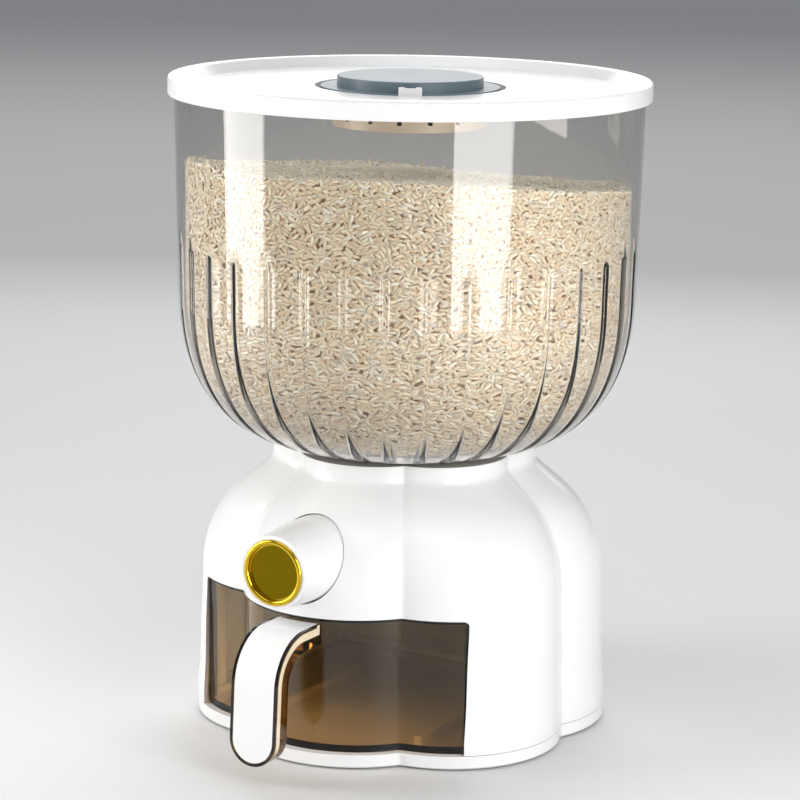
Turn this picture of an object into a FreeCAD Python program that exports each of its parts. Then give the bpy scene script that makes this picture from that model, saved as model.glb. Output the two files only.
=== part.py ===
import FreeCAD, Part
import math
import os

from FreeCAD import Vector

# Rice dispenser with a drawer. Millimetres, +Z up. The origin is on the table, on the axis of the
# base. The drawer and the button face -Y.

# ---------------------------------------------------------------- fits
RUN = 0.3                # gap between pieces that move past each other
SNUG = 0.1               # gap between pieces that are fixed to each other
REVEAL = 0.4             # gap round the drawer's front
BUTTON_REVEAL = 0.5      # gap round the button
SEAM = 0.3               # groove between the shell and the base plate

# ---------------------------------------------------------------- lobed outline of the base
LOBES = 6
FOOT_CREST = 106.0       # radius over a lobe's crest at the seam
LOBE_DEPTH = 11.6        # from the crest to where two lobes would meet with no fillet
VALLEY_FILLET = 4.0

# ---------------------------------------------------------------- base plate
STANDOFF = 1.0           # height of the plate above the table
PLATE_HEIGHT = 6.7
PLATE_FLOOR = 2.4
PLATE_RIM = 5.2          # width of the plate's rim
LIP_RISE = 2.5           # height of the lip that centres the shell
PLATE_CHAMFER = 0.8
PAD_RADIUS = 7.0
PAD_RECESS = 0.8
PAD_INSET = 28.0         # from a lobe's crest to the centre of its rubber foot
RUNNER_SPACING = 90.0    # distance between the two runners under the drawer
RUNNER_WIDTH = 4.0
GUIDE_RIB = 2.0          # thickness of the ribs beside and behind the drawer
GUIDE_RIB_RISE = 6.0     # height of those ribs above the seam

# ---------------------------------------------------------------- shell
SHELL_WALL = 2.6
SIDE_HEIGHT = 71.1       # from the seam to the shoulder
SIDE_TAPER = 2.2         # how much smaller the crest radius is at the shoulder
DOME_INSET = 61.4        # how far the dome's ellipse reaches inwards
DOME_RISE = 59.6         # how far it reaches up
NECK_CREST = 67.8
NECK_BLEND = 15.9        # size of the hollow blend between dome and neck
NECK_LENGTH = 6.6
NECK_WALL = 3.28         # wall between the valleys of the neck and the hopper's seat
SEAT_DEPTH = 16.8        # depth of that seat below the top of the neck
LEDGE = 2.6              # thickness of the ledge under the seat
LEDGE_LAND = 12.6        # width of the ledge
POST_RADIUS = 4.5
POST_CLEAR = 2.5         # gap between a corner post and the drawer bay
POST_Y = 50.0            # the four corner posts stand at this distance before and behind the axis
REAR_POST_INSET = 11.5   # from the rear lobe's crest to the rear post
BOSS_WALL = 1.0          # how much wider the plate's bosses are than the posts
BOSS_RADIUS = 4.0        # the bosses that carry the deck
BOSS_X = 62.0
BOSS_Y = 45.0

# ---------------------------------------------------------------- screws
SCREW_RADIUS = 1.5
SCREW_HEAD = 3.2         # head radius
SCREW_HEAD_HEIGHT = 1.7
SCREW_GRIP = 9.0         # length of thread inside a post, boss or leg
SCREW_SINK = 1.0         # how deep the heads lie in the base plate
PILOT_END = 1.0          # how much deeper the hole is than the thread
SLOT_REACH = 0.7         # cross slot, as a share of the head's radius
SLOT_HALF = 0.15

# ---------------------------------------------------------------- drawer and its window
WINDOW_MARGIN = 29.0     # from a lobe's crest radius in to the window's side
WINDOW_HEIGHT = 68.3
WINDOW_CORNER = 2.4      # radius of the window's upper corners
BACK_MARGIN = 44.0       # from a lobe's crest radius in to the drawer's back wall
DRAWER_WALL = 2.6
DRAWER_FRONT = 3.4
FRONT_RECESS = 1.4       # the drawer's upright front lies this far behind the shell at its rim
DRAWER_FLOOR = 3.0
DRAWER_CORNER = 6.0

# ---------------------------------------------------------------- handle
HANDLE_DROP = 2.6        # the handle's top face is this far below the drawer's rim
HANDLE_NECK = 13.1       # straight run from the drawer's front to the bend
HANDLE_BEND = 25.5       # outer radius of the bend
HANDLE_LEAN = 3.2        # degrees that the strip leans forwards
HANDLE_WIDTH = 26.0
HANDLE_DEPTH = 10.2
HANDLE_TIP = 1.6         # height of the tip above the drawer's underside
GRIP_WIDTH = 22.4
GRIP_THICK = 5.4

# ---------------------------------------------------------------- deck, chute, gate and funnel
DECK_GAP = 0.2           # deck above the top of the window
DECK = 2.4
DECK_PAD_RADIUS = 6.0
DECK_PAD = 2.4           # thickness added to the deck under each boss
OUTLET_RADIUS = 8.0      # radius of the metered opening
CHUTE_RADIUS = 9.2
CHUTE_WALL = 1.7
CHUTE_FLANGE = 3.2       # width of the flange at the top of the chute
CHUTE_FLANGE_THICK = 2.0
GATE_THICK = 3.0
GATE_HALF_WIDTH = 15.0
GATE_LAP = 2.0           # solid plate between the two openings when the gate is shut
GATE_EDGE = 6.0          # plate beyond the opening at each end
HOUSING_WALL = 4.6
HOUSING_FLOOR = 3.5
HOUSING_ROOF = 3.0
HOUSING_BACK = 2.0
LEG_RADIUS = 4.0
FUNNEL_WALL = 2.0
FUNNEL_FLANGE = 2.0

# ---------------------------------------------------------------- button
BARREL_RADIUS = 20.2
BARREL_TIP_RADIUS = 18.3
BARREL_WALL = 2.2
BARREL_REACH = 19.0      # the barrel's rim in front of the lobe's crest
BARREL_STOP = 4.0        # gap behind the pressed barrel
BARREL_TAPER = 27.0      # length of the tapered front part
BARREL_TAIL = 16.0       # length of the straight rear part
BARREL_EDGE = 0.8
SLEEVE_WALL = 2.5
SLEEVE_BACK = 2.5
SLEEVE_LIFT = 0.6        # sleeve above the deck
SADDLE_HALF = 14.0
SADDLE_LENGTH = 14.0
RING_WIDTH = 2.6         # gold ring round the button's face
RING_PROUD = 1.2
RING_ROUND = 1.17        # radius of the ring's edges
RIM_WIDTH = 1.8          # plain rim outside the gold ring
FACE_RECESS = 1.2
FACE_THICK = 1.0
ROD_RADIUS = 4.0
LUG_LENGTH = 10.0
LUG_HALF = 6.5
PIN_RADIUS = 1.5
SPRING_RADIUS = 7.5
SPRING_WIRE = 0.9
SPRING_TURNS = 11

# ---------------------------------------------------------------- hopper
HOPPER_HEIGHT = 181.0
HOPPER_WALL = 2.8
HOPPER_RIM_RADIUS = 118.5
HOPPER_TAPER = 2.0       # how much smaller the radius is where the bowl begins
BOWL_DEPTH = 83.7
BOWL_FLAT = 42.7         # radius at which the bowl's curve ends in its flat bottom
BOWL_SQUARENESS = 2.43   # 2 is an ellipse, more is fuller
HOPPER_LIFT = 0.2        # flat bottom above the top of the neck
SPOUT_RADIUS = 24.0
SPOUT_WALL = 2.4
SPOUT_LENGTH = 8.0
SKIRT_WALL = 2.8
SEAT_SEAL = 2.0
SEAT_SEAL_WIDTH = 5.0
FLUTES = 36
FLUTE_WIDTH = 4.5
FLUTE_DEPTH = 1.0
FLUTE_END = 27.3         # the flutes stop this far outside the flat bottom
FLUTE_RISE = 18.9        # the flutes run this far up the wall above the bowl

# ---------------------------------------------------------------- lid
LID_GAP = 0.85           # between the hopper's rim and the lid's skirt
LID_SKIRT = 9.3
LID_SKIRT_WALL = 2.4
LID_THICK = 2.4
LID_EDGE = 1.4
BAND_WIDTH = 8.4         # flat band inside the rounded edge
DISH_DEPTH = 4.7
DISH_SLOPE = 4.3         # width of the slope from the band to the dish
LID_SEAL = 2.9
LID_SEAL_WIDTH = 3.4
CAP_RECESS_DEPTH = 2.8
NOTCH_WIDTH = 24.0
NOTCH_DEPTH = 1.8

# ---------------------------------------------------------------- desiccant box, cap and latch
BOX_RADIUS = 39.0
BOX_WALL = 1.8
BOX_DEPTH = 16.5
BOX_LAND = 3.6           # width of the ledge in the lid that carries the box
BOX_FLANGE = 1.0
VENTS = 16
VENT_WIDTH = 2.4
VENT_HEIGHT = 9.0
CAP_COVER = 6.2          # how far the cap's flange reaches outside the box
CAP_FLANGE = 1.6
KNOB_INSET = 2.1         # from the box's radius in to the knob's
KNOB_HEIGHT = 5.2
KNOB_EDGE = 0.8
PLUG_DEPTH = 6.0
PLUG_WALL = 2.0
CAP_TOP = 2.0
O_RING = 0.8
LATCH_BEARING = 30.0     # degrees from -Y towards +X
LATCH_WIDTH = 11.5
LATCH_THICK = 1.8
LATCH_HEIGHT = 3.9       # above the dish
LATCH_DIP = 0.5
LATCH_DIP_WIDTH = 5.5
LATCH_TRAVEL = 0.8

# ---------------------------------------------------------------- derived levels and radii
FOOT_VALLEY = FOOT_CREST - LOBE_DEPTH
SHOULDER_CREST = FOOT_CREST - SIDE_TAPER
PAD_CIRCLE = FOOT_CREST - PAD_INSET
NECK_BORE = NECK_CREST * FOOT_VALLEY / FOOT_CREST - NECK_WALL
REAR_POST_Y = FOOT_CREST - REAR_POST_INSET
WINDOW_HALF = FOOT_CREST - WINDOW_MARGIN
DRAWER_BACK = FOOT_CREST - BACK_MARGIN
PRESS = 2 * OUTLET_RADIUS + GATE_LAP
BARREL_FRONT_Y = -(FOOT_CREST + BARREL_REACH)
BARREL_TAIL_Y = BARREL_FRONT_Y + BARREL_TAPER
BARREL_END_Y = BARREL_TAIL_Y + BARREL_TAIL
SLEEVE_BACK_Y = BARREL_END_Y + PRESS + BARREL_STOP
HOPPER_WAIST_RADIUS = HOPPER_RIM_RADIUS - HOPPER_TAPER
BOWL_REACH = HOPPER_WAIST_RADIUS - BOWL_FLAT
LID_RADIUS = HOPPER_RIM_RADIUS + LID_GAP + LID_SKIRT_WALL
CAP_FLANGE_RADIUS = BOX_RADIUS + CAP_COVER
KNOB_RADIUS = BOX_RADIUS - KNOB_INSET
CAP_RECESS_RADIUS = CAP_FLANGE_RADIUS + RUN + LATCH_THICK + LATCH_TRAVEL + SNUG

PLATE_TOP = STANDOFF + PLATE_HEIGHT
SHELL_BOTTOM = PLATE_TOP + SEAM
LIP_TOP = PLATE_TOP + LIP_RISE
SHOULDER_Z = PLATE_TOP + SIDE_HEIGHT
NECK_TOP = SHOULDER_Z + DOME_RISE + NECK_LENGTH
SEAT_Z = NECK_TOP - SEAT_DEPTH
WINDOW_TOP = PLATE_TOP + WINDOW_HEIGHT
DRAWER_HALF = WINDOW_HALF - REVEAL
DRAWER_BOTTOM = PLATE_TOP + REVEAL
DRAWER_TOP = WINDOW_TOP - REVEAL
TIP_Z = DRAWER_BOTTOM + HANDLE_TIP
GRIP_MARGIN = (HANDLE_WIDTH - GRIP_WIDTH) / 2
POST_X = WINDOW_HALF + POST_CLEAR + POST_RADIUS
DECK_BOTTOM = WINDOW_TOP + DECK_GAP
DECK_TOP = DECK_BOTTOM + DECK
SLEEVE_RADIUS = BARREL_RADIUS + BUTTON_REVEAL
BUTTON_Z = DECK_TOP + SLEEVE_LIFT + SLEEVE_RADIUS + SLEEVE_WALL
GATE_BOTTOM = BUTTON_Z - GATE_THICK / 2
TUNNEL_FLOOR = GATE_BOTTOM - RUN
TUNNEL_ROOF = GATE_BOTTOM + GATE_THICK + RUN
HOUSING_BOTTOM = TUNNEL_FLOOR - HOUSING_FLOOR
HOUSING_TOP = TUNNEL_ROOF + HOUSING_ROOF
GATE_HOLE_Y = -PRESS
LUG_FRONT_Y = SLEEVE_BACK_Y + SLEEVE_BACK + RUN
LUG_BACK_Y = LUG_FRONT_Y + LUG_LENGTH
GATE_BACK_Y = OUTLET_RADIUS + GATE_EDGE
HOUSING_BACK_Y = GATE_BACK_Y + PRESS + RUN + HOUSING_BACK
HOUSING_FRONT_Y = -(OUTLET_RADIUS + FUNNEL_WALL + GATE_EDGE)
HOUSING_HALF = GATE_HALF_WIDTH + RUN + HOUSING_WALL
FLANGE_TOP = SEAT_Z + FUNNEL_FLANGE
SEAL_TOP = FLANGE_TOP + SEAT_SEAL
BOWL_BOTTOM = NECK_TOP + HOPPER_LIFT
WAIST_Z = BOWL_BOTTOM + BOWL_DEPTH
HOPPER_TOP = BOWL_BOTTOM + HOPPER_HEIGHT
SKIRT_RADIUS = NECK_BORE - 2 * RUN
LID_UNDERSIDE = HOPPER_TOP + RUN + LID_SEAL
BAND_TOP = LID_UNDERSIDE + LID_THICK
DISH_TOP = BAND_TOP - DISH_DEPTH
RECESS_Z = DISH_TOP - CAP_RECESS_DEPTH
BOX_HOLE = BOX_RADIUS + SNUG
LATCH_BACK = CAP_FLANGE_RADIUS + RUN
CAP_UNDERSIDE = RECESS_Z + BOX_FLANGE + RUN
FLANGE_RIM_Z = CAP_UNDERSIDE + CAP_FLANGE
KNOB_TOP = FLANGE_RIM_Z + KNOB_HEIGHT
FAR = 2 * KNOB_TOP       # larger than the object, for cutting tools
OVER = 1.0               # how far a cutting tool runs past a face
NEAR = 0.01              # faces and edges closer than this lie at the same place

SIDE_SECTIONS = (0, 0.25, 0.5, 0.75)   # shares of the side's height
DOME_SECTIONS = range(0, 79, 11)       # degrees up the dome's ellipse
NECK_SECTIONS = (-0.1, 0.5, 1)         # shares of the neck's length
SLOPE_STEP = 0.05                      # height step for the slope of the base's profile

UP = Vector(0, 0, 1)
BACKWARDS = Vector(0, 1, 0)


# ---------------------------------------------------------------- plain shapes
def cylinder(radius, bottom, top, x=0.0, y=0.0):
    """An upright cylinder."""
    return Part.makeCylinder(radius, top - bottom, Vector(x, y, bottom), UP)


def lying_cylinder(radius, front, back, z):
    """A cylinder along Y, on the plane x = 0."""
    return Part.makeCylinder(radius, back - front, Vector(0, front, z), BACKWARDS)


def lying_cone(front_radius, back_radius, front, back, z):
    """A cone along Y, on the plane x = 0."""
    return Part.makeCone(front_radius, back_radius, back - front, Vector(0, front, z), BACKWARDS)


def box(x_range, y_range, z_range):
    """A box between the given limits."""
    size = [high - low for low, high in (x_range, y_range, z_range)]
    return Part.makeBox(*size, Vector(x_range[0], y_range[0], z_range[0]))


def turned(points):
    """The solid of revolution about Z of a closed outline of (radius, height) points."""
    corners = [Vector(radius, 0, height) for radius, height in points]
    outline = Part.makePolygon(corners + corners[:1])
    return Part.Face(outline).revolve(Vector(0, 0, 0), UP, 360)


def fused(shapes):
    """One shape out of several that meet."""
    first, *others = shapes
    return first.multiFuse(others).removeSplitter() if others else first


def around(shape, count, start=0.0):
    """Copies of a shape, turned about Z."""
    copies = []
    for index in range(count):
        copy = shape.copy()
        copy.rotate(Vector(0, 0, 0), UP, start + index * 360.0 / count)
        copies.append(copy)
    return copies


def rounded_edges(shape, radius, wanted):
    """Fillets on the edges that the test picks."""
    return shape.makeFillet(radius, [edge for edge in shape.Edges if wanted(edge)])


# ---------------------------------------------------------------- the lobed form
def lobe_geometry(scale):
    """Centre distance and radius of a lobe's arc, centre distance of a valley's arc, and the angle
    from the lobe's bearing at which the two arcs meet."""
    half = math.pi / LOBES
    crest, valley = FOOT_CREST * scale, FOOT_VALLEY * scale
    fillet = VALLEY_FILLET * scale
    centre = (crest ** 2 - valley ** 2) / (2 * (crest - valley * math.cos(half)))
    radius = crest - centre
    across = centre * math.sin(half)
    fillet_centre = centre * math.cos(half) + math.sqrt((radius + fillet) ** 2 - across ** 2)
    share = radius / (radius + fillet)
    meet_x = centre + (fillet_centre * math.cos(half) - centre) * share
    meet_y = fillet_centre * math.sin(half) * share
    return centre, radius, fillet_centre, fillet, meet_x, meet_y


def lobed_wire(crest, z):
    """The base's outline at height z, as six lobes joined by six hollow fillets."""
    _, _, fillet_centre, fillet, meet_x, meet_y = lobe_geometry(crest / FOOT_CREST)
    half = math.pi / LOBES
    meet_radius, meet_angle = math.hypot(meet_x, meet_y), math.atan2(meet_y, meet_x)

    def point(radius, angle):
        return Vector(radius * math.cos(angle), radius * math.sin(angle), z)

    edges = []
    for index in range(LOBES):
        bearing = -math.pi / 2 + index * 2 * half
        start = point(meet_radius, bearing - meet_angle)
        end = point(meet_radius, bearing + meet_angle)
        following = point(meet_radius, bearing + 2 * half - meet_angle)
        bottom = point(fillet_centre - fillet, bearing + half)
        edges.append(Part.Arc(start, point(crest, bearing), end).toShape())
        edges.append(Part.Arc(end, bottom, following).toShape())
    return Part.Wire(edges)


def lobed_prism(crest, bottom, top):
    """An upright lobed prism."""
    return Part.Face(lobed_wire(crest, bottom)).extrude(Vector(0, 0, top - bottom))


def crest_radius(z):
    """Crest radius of the base at height z: a slightly tapered side, an elliptical dome and a
    hollow blend into the neck."""
    if z <= SHOULDER_Z:
        share = (z - PLATE_TOP) / SIDE_HEIGHT
        return FOOT_CREST + (SHOULDER_CREST - FOOT_CREST) * share
    rise = min((z - SHOULDER_Z) / DOME_RISE, 1.0)
    dome = SHOULDER_CREST - DOME_INSET * (1 - math.sqrt(1 - rise ** 2))
    mix = min(max(0.5 + 0.5 * (dome - NECK_CREST) / NECK_BLEND, 0.0), 1.0)
    return NECK_CREST * (1 - mix) + dome * mix + NECK_BLEND * mix * (1 - mix)


def section_heights():
    """Heights of the base's sections, closer together where the form turns faster."""
    side = [PLATE_TOP + SIDE_HEIGHT * share for share in SIDE_SECTIONS]
    dome = [SHOULDER_Z + DOME_RISE * math.sin(math.radians(turn)) for turn in DOME_SECTIONS]
    neck = [SHOULDER_Z + DOME_RISE + NECK_LENGTH * share for share in NECK_SECTIONS]
    return side + dome + neck


def lobed_body(inset, bottom=None, top=None):
    """The base's form with its surface moved inwards, between two heights."""
    wires = []
    for z in section_heights():
        rise = crest_radius(z + SLOPE_STEP) - crest_radius(z - SLOPE_STEP)
        slope = rise / (2 * SLOPE_STEP)
        length = math.hypot(1.0, slope)
        crest = crest_radius(z) - inset / length
        wires.append(lobed_wire(crest, z + inset * slope / length))
    body = Part.makeLoft(wires, True, False)
    low = body.BoundBox.ZMin if bottom is None else bottom
    high = body.BoundBox.ZMax if top is None else top
    return body.common(box((-FAR, FAR), (-FAR, FAR), (low, high)))


# ---------------------------------------------------------------- places of the screws
def corner_posts():
    """Centres of the shell's five posts, which the base plate is screwed to."""
    corners = [(x, y) for x in (-POST_X, POST_X) for y in (-POST_Y, POST_Y)]
    return corners + [(0.0, REAR_POST_Y)]


def deck_bosses():
    """Centres of the four bosses that carry the deck."""
    return [(x, y) for x in (-BOSS_X, BOSS_X) for y in (-BOSS_Y, BOSS_Y)]


def housing_legs():
    """Centres of the gate housing's four legs."""
    x = HOUSING_HALF - LEG_RADIUS
    return [(side * x, y) for side in (-1, 1)
            for y in (HOUSING_FRONT_Y + LEG_RADIUS, HOUSING_BACK_Y - LEG_RADIUS)]


def pads(clearance, bottom):
    """The rubber feet, or their recesses, from the given height to the recess's end."""
    top = STANDOFF + PAD_RECESS
    under_lobe = cylinder(PAD_RADIUS + clearance, bottom, top, 0, -PAD_CIRCLE)
    return around(under_lobe, LOBES) + [cylinder(PAD_RADIUS + clearance, bottom, top)]


def screw(x, y, head_bottom, joint_z):
    """A screw that points up, with its thread in the piece above joint_z."""
    head = cylinder(SCREW_HEAD, head_bottom, head_bottom + SCREW_HEAD_HEIGHT, x, y)
    shank = cylinder(SCREW_RADIUS, head_bottom + SCREW_HEAD_HEIGHT, joint_z + SCREW_GRIP, x, y)
    slot_depth = SCREW_HEAD_HEIGHT / 2
    slots = []
    for share_x, share_y in ((SLOT_REACH, SLOT_HALF), (SLOT_HALF, SLOT_REACH)):
        reach_x, reach_y = SCREW_HEAD * share_x, SCREW_HEAD * share_y
        slots.append(box((x - reach_x, x + reach_x), (y - reach_y, y + reach_y),
                         (head_bottom, head_bottom + slot_depth)))
    return fused([head, shank]).cut(Part.makeCompound(slots))


def pilot(x, y, joint_z):
    """The hole for a screw's thread."""
    return cylinder(SCREW_RADIUS + SNUG, joint_z, joint_z + SCREW_GRIP + PILOT_END, x, y)


def head_pocket(x, y, bottom, depth, top):
    """The pocket for a screw's head and the clearance hole above it."""
    pocket = cylinder(SCREW_HEAD + SNUG, bottom, bottom + depth, x, y)
    return pocket.fuse(cylinder(SCREW_RADIUS + SNUG, bottom, top, x, y))


# ---------------------------------------------------------------- base
def base_plate():
    """The tray that closes the base from below, with runners, guide ribs and screw bosses."""
    plate = lobed_prism(crest_radius(PLATE_TOP), STANDOFF, PLATE_TOP)
    lower_edges = [edge for edge in plate.Edges
                   if abs(edge.BoundBox.ZMax - STANDOFF) < NEAR]
    plate = plate.makeChamfer(PLATE_CHAMFER, lower_edges)
    floor_top = STANDOFF + PLATE_FLOOR
    crest = crest_radius(PLATE_TOP)
    lip = lobed_prism(crest - SHELL_WALL - SNUG, PLATE_TOP, LIP_TOP)
    window = box((-WINDOW_HALF - RUN, WINDOW_HALF + RUN), (-FAR, 0), (PLATE_TOP, LIP_TOP))
    plate = plate.fuse(lip.cut(window))
    plate = plate.cut(lobed_prism(crest - PLATE_RIM, floor_top, LIP_TOP))

    bay_front = -math.sqrt(max((crest - PLATE_RIM) ** 2 - WINDOW_HALF ** 2, 0.0)) + PLATE_RIM
    rib_top = PLATE_TOP + GUIDE_RIB_RISE
    guides = []
    for side in (-1, 1):
        x = side * RUNNER_SPACING / 2
        runner = box((x - RUNNER_WIDTH / 2, x + RUNNER_WIDTH / 2),
                     (bay_front, DRAWER_BACK), (floor_top, DRAWER_BOTTOM - RUN))
        inner, outer = sorted((side * WINDOW_HALF, side * (WINDOW_HALF + GUIDE_RIB)))
        rib = box((inner, outer), (bay_front, DRAWER_BACK), (floor_top, rib_top))
        guides += [runner, rib]
    stop_y = DRAWER_BACK + RUN
    guides.append(box((-RUNNER_SPACING / 2, RUNNER_SPACING / 2), (stop_y, stop_y + GUIDE_RIB),
                      (floor_top, rib_top)))
    bay = box((-WINDOW_HALF, WINDOW_HALF), (-FAR, DRAWER_BACK), (-FAR, FAR))
    bosses = [cylinder(POST_RADIUS + BOSS_WALL, floor_top, LIP_TOP, x, y).cut(bay)
              for x, y in corner_posts()]
    inside = lobed_prism(crest - PLATE_RIM + SNUG, floor_top, rib_top)
    plate = fused([plate] + [piece.common(inside) for piece in guides + bosses])
    for x, y in corner_posts():
        plate = plate.cut(head_pocket(x, y, STANDOFF, SCREW_HEAD_HEIGHT + SCREW_SINK, LIP_TOP))
    return plate.cut(Part.makeCompound(pads(SNUG, STANDOFF)))


def rubber_feet():
    """Seven round pads, one under each lobe and one in the middle."""
    return Part.makeCompound([
        rounded_edges(pad, STANDOFF / 2, lambda edge: edge.BoundBox.ZMax < NEAR)
        for pad in pads(0.0, 0.0)])


def plate_screws():
    """The five screws that hold the base plate to the shell."""
    head_bottom = STANDOFF + SCREW_SINK
    return Part.makeCompound([screw(x, y, head_bottom, LIP_TOP) for x, y in corner_posts()])


def window_cutter():
    """The opening in the shell's front, with rounded upper corners."""
    opening = box((-WINDOW_HALF, WINDOW_HALF), (-FAR, -BOSS_Y), (SHELL_BOTTOM - OVER, WINDOW_TOP))
    return rounded_edges(opening, WINDOW_CORNER, lambda edge: (
        edge.BoundBox.YLength > NEAR and abs(edge.BoundBox.ZMin - WINDOW_TOP) < NEAR))


def base_shell():
    """The white lobed cover: side, dome, neck, hopper seat, window, button hole and posts."""
    outer = lobed_body(0.0, SHELL_BOTTOM)
    hollow = lobed_body(SHELL_WALL, None, SEAT_Z - LEDGE)
    shell = outer.cut(hollow)
    supports = [cylinder(POST_RADIUS, LIP_TOP, NECK_TOP, x, y) for x, y in corner_posts()]
    supports += [cylinder(BOSS_RADIUS, DECK_TOP + DECK_PAD, NECK_TOP, x, y) for x, y in deck_bosses()]
    roof = lobed_body(SHELL_WALL / 2, None, SEAT_Z - LEDGE / 2)
    shell = fused([shell] + [support.common(roof) for support in supports])
    bore = cylinder(NECK_BORE, SEAT_Z, NECK_TOP + OVER)
    throat = cylinder(NECK_BORE - LEDGE_LAND, SEAT_Z - 2 * LEDGE, SEAT_Z + OVER)
    hole = lying_cylinder(SLEEVE_RADIUS, -FAR, SLEEVE_BACK_Y, BUTTON_Z)
    pilots = [pilot(x, y, LIP_TOP) for x, y in corner_posts()]
    pilots += [pilot(x, y, DECK_TOP + DECK_PAD) for x, y in deck_bosses()]
    return shell.cut(Part.makeCompound([bore])).cut(throat).cut(hole).cut(window_cutter()).cut(
        Part.makeCompound(pilots))


def drawer_deck():
    """The floor above the drawer bay, which carries the works."""
    crest = crest_radius(DECK_BOTTOM) - SHELL_WALL - RUN
    deck = lobed_prism(crest, DECK_BOTTOM, DECK_TOP)
    pads = [cylinder(DECK_PAD_RADIUS, DECK_BOTTOM, DECK_TOP + DECK_PAD, x, y)
            for x, y in deck_bosses()]
    deck = fused([deck] + pads)
    holes = [cylinder(POST_RADIUS + RUN, DECK_BOTTOM, DECK_TOP, x, y) for x, y in corner_posts()]
    holes.append(cylinder(CHUTE_RADIUS + CHUTE_WALL + SNUG, DECK_BOTTOM, DECK_TOP))
    deck = deck.cut(Part.makeCompound(holes))
    for x, y in deck_bosses():
        deck = deck.cut(head_pocket(x, y, DECK_BOTTOM, SCREW_HEAD_HEIGHT, DECK_TOP + DECK_PAD))
    for x, y in housing_legs():
        deck = deck.cut(head_pocket(x, y, DECK_BOTTOM, SCREW_HEAD_HEIGHT, DECK_TOP))
    return deck


def deck_screws():
    """The four screws that hang the deck from the shell's bosses."""
    joint = DECK_TOP + DECK_PAD
    return Part.makeCompound([screw(x, y, DECK_BOTTOM, joint) for x, y in deck_bosses()])


def gate_housing():
    """The block that the gate slides through, on four legs."""
    block = box((-HOUSING_HALF, HOUSING_HALF), (HOUSING_FRONT_Y, HOUSING_BACK_Y),
                (HOUSING_BOTTOM, HOUSING_TOP))
    legs = [cylinder(LEG_RADIUS, DECK_TOP, HOUSING_BOTTOM, x, y) for x, y in housing_legs()]
    tunnel_half = GATE_HALF_WIDTH + RUN
    tunnel = box((-tunnel_half, tunnel_half), (-FAR, HOUSING_BACK_Y - HOUSING_BACK),
                 (TUNNEL_FLOOR, TUNNEL_ROOF))
    drop = cylinder(OUTLET_RADIUS, HOUSING_BOTTOM, TUNNEL_FLOOR)
    socket = cylinder(OUTLET_RADIUS + FUNNEL_WALL + SNUG, TUNNEL_ROOF, HOUSING_TOP)
    pilots = [pilot(x, y, DECK_TOP) for x, y in housing_legs()]
    return fused([block] + legs).cut(Part.makeCompound([tunnel])).cut(
        Part.makeCompound([drop, socket] + pilots))


def housing_screws():
    """The four screws that hold the gate housing's legs on the deck."""
    return Part.makeCompound([screw(x, y, DECK_BOTTOM, DECK_TOP) for x, y in housing_legs()])


def outlet_chute():
    """The tube from the gate down through the deck."""
    outer = CHUTE_RADIUS + CHUTE_WALL
    flange_bottom = HOUSING_BOTTOM - CHUTE_FLANGE_THICK
    return turned([(CHUTE_RADIUS, DECK_BOTTOM), (outer, DECK_BOTTOM), (outer, flange_bottom),
                   (outer + CHUTE_FLANGE, flange_bottom), (outer + CHUTE_FLANGE, HOUSING_BOTTOM),
                   (CHUTE_RADIUS, HOUSING_BOTTOM)])


def feed_funnel():
    """The funnel under the hopper. Its flange lies on the ledge in the neck."""
    flange = NECK_BORE - RUN
    mouth = NECK_BORE - LEDGE_LAND - RUN
    spout = OUTLET_RADIUS + FUNNEL_WALL
    return turned([(OUTLET_RADIUS, TUNNEL_ROOF), (spout, TUNNEL_ROOF), (spout, HOUSING_TOP + SNUG),
                   (mouth, SEAT_Z), (flange, SEAT_Z), (flange, FLANGE_TOP),
                   (mouth - FUNNEL_WALL, FLANGE_TOP), (OUTLET_RADIUS, HOUSING_TOP + FUNNEL_WALL)])


def hopper_seal():
    """The rubber ring between the funnel's flange and the hopper's skirt."""
    outer = NECK_BORE - RUN
    return turned([(outer - SEAT_SEAL_WIDTH, FLANGE_TOP), (outer, FLANGE_TOP), (outer, SEAL_TOP),
                   (outer - SEAT_SEAL_WIDTH, SEAL_TOP)])


def button_guide():
    """The sleeve that the button slides in, with a back wall for the spring and the rod."""
    outer = SLEEVE_RADIUS + SLEEVE_WALL
    tube = lying_cylinder(outer, -FAR, SLEEVE_BACK_Y + SLEEVE_BACK, BUTTON_Z)
    saddle = box((-SADDLE_HALF, SADDLE_HALF),
                 (SLEEVE_BACK_Y + SLEEVE_BACK - SADDLE_LENGTH, SLEEVE_BACK_Y + SLEEVE_BACK),
                 (DECK_TOP, BUTTON_Z))
    bore = lying_cylinder(SLEEVE_RADIUS, -FAR, SLEEVE_BACK_Y, BUTTON_Z)
    rod_hole = lying_cylinder(ROD_RADIUS + RUN, SLEEVE_BACK_Y, LUG_FRONT_Y, BUTTON_Z)
    sleeve = fused([tube, saddle]).cut(bore).cut(rod_hole)
    return sleeve.common(lobed_body(SHELL_WALL + SNUG, DECK_TOP, SEAT_Z - LEDGE))


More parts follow.
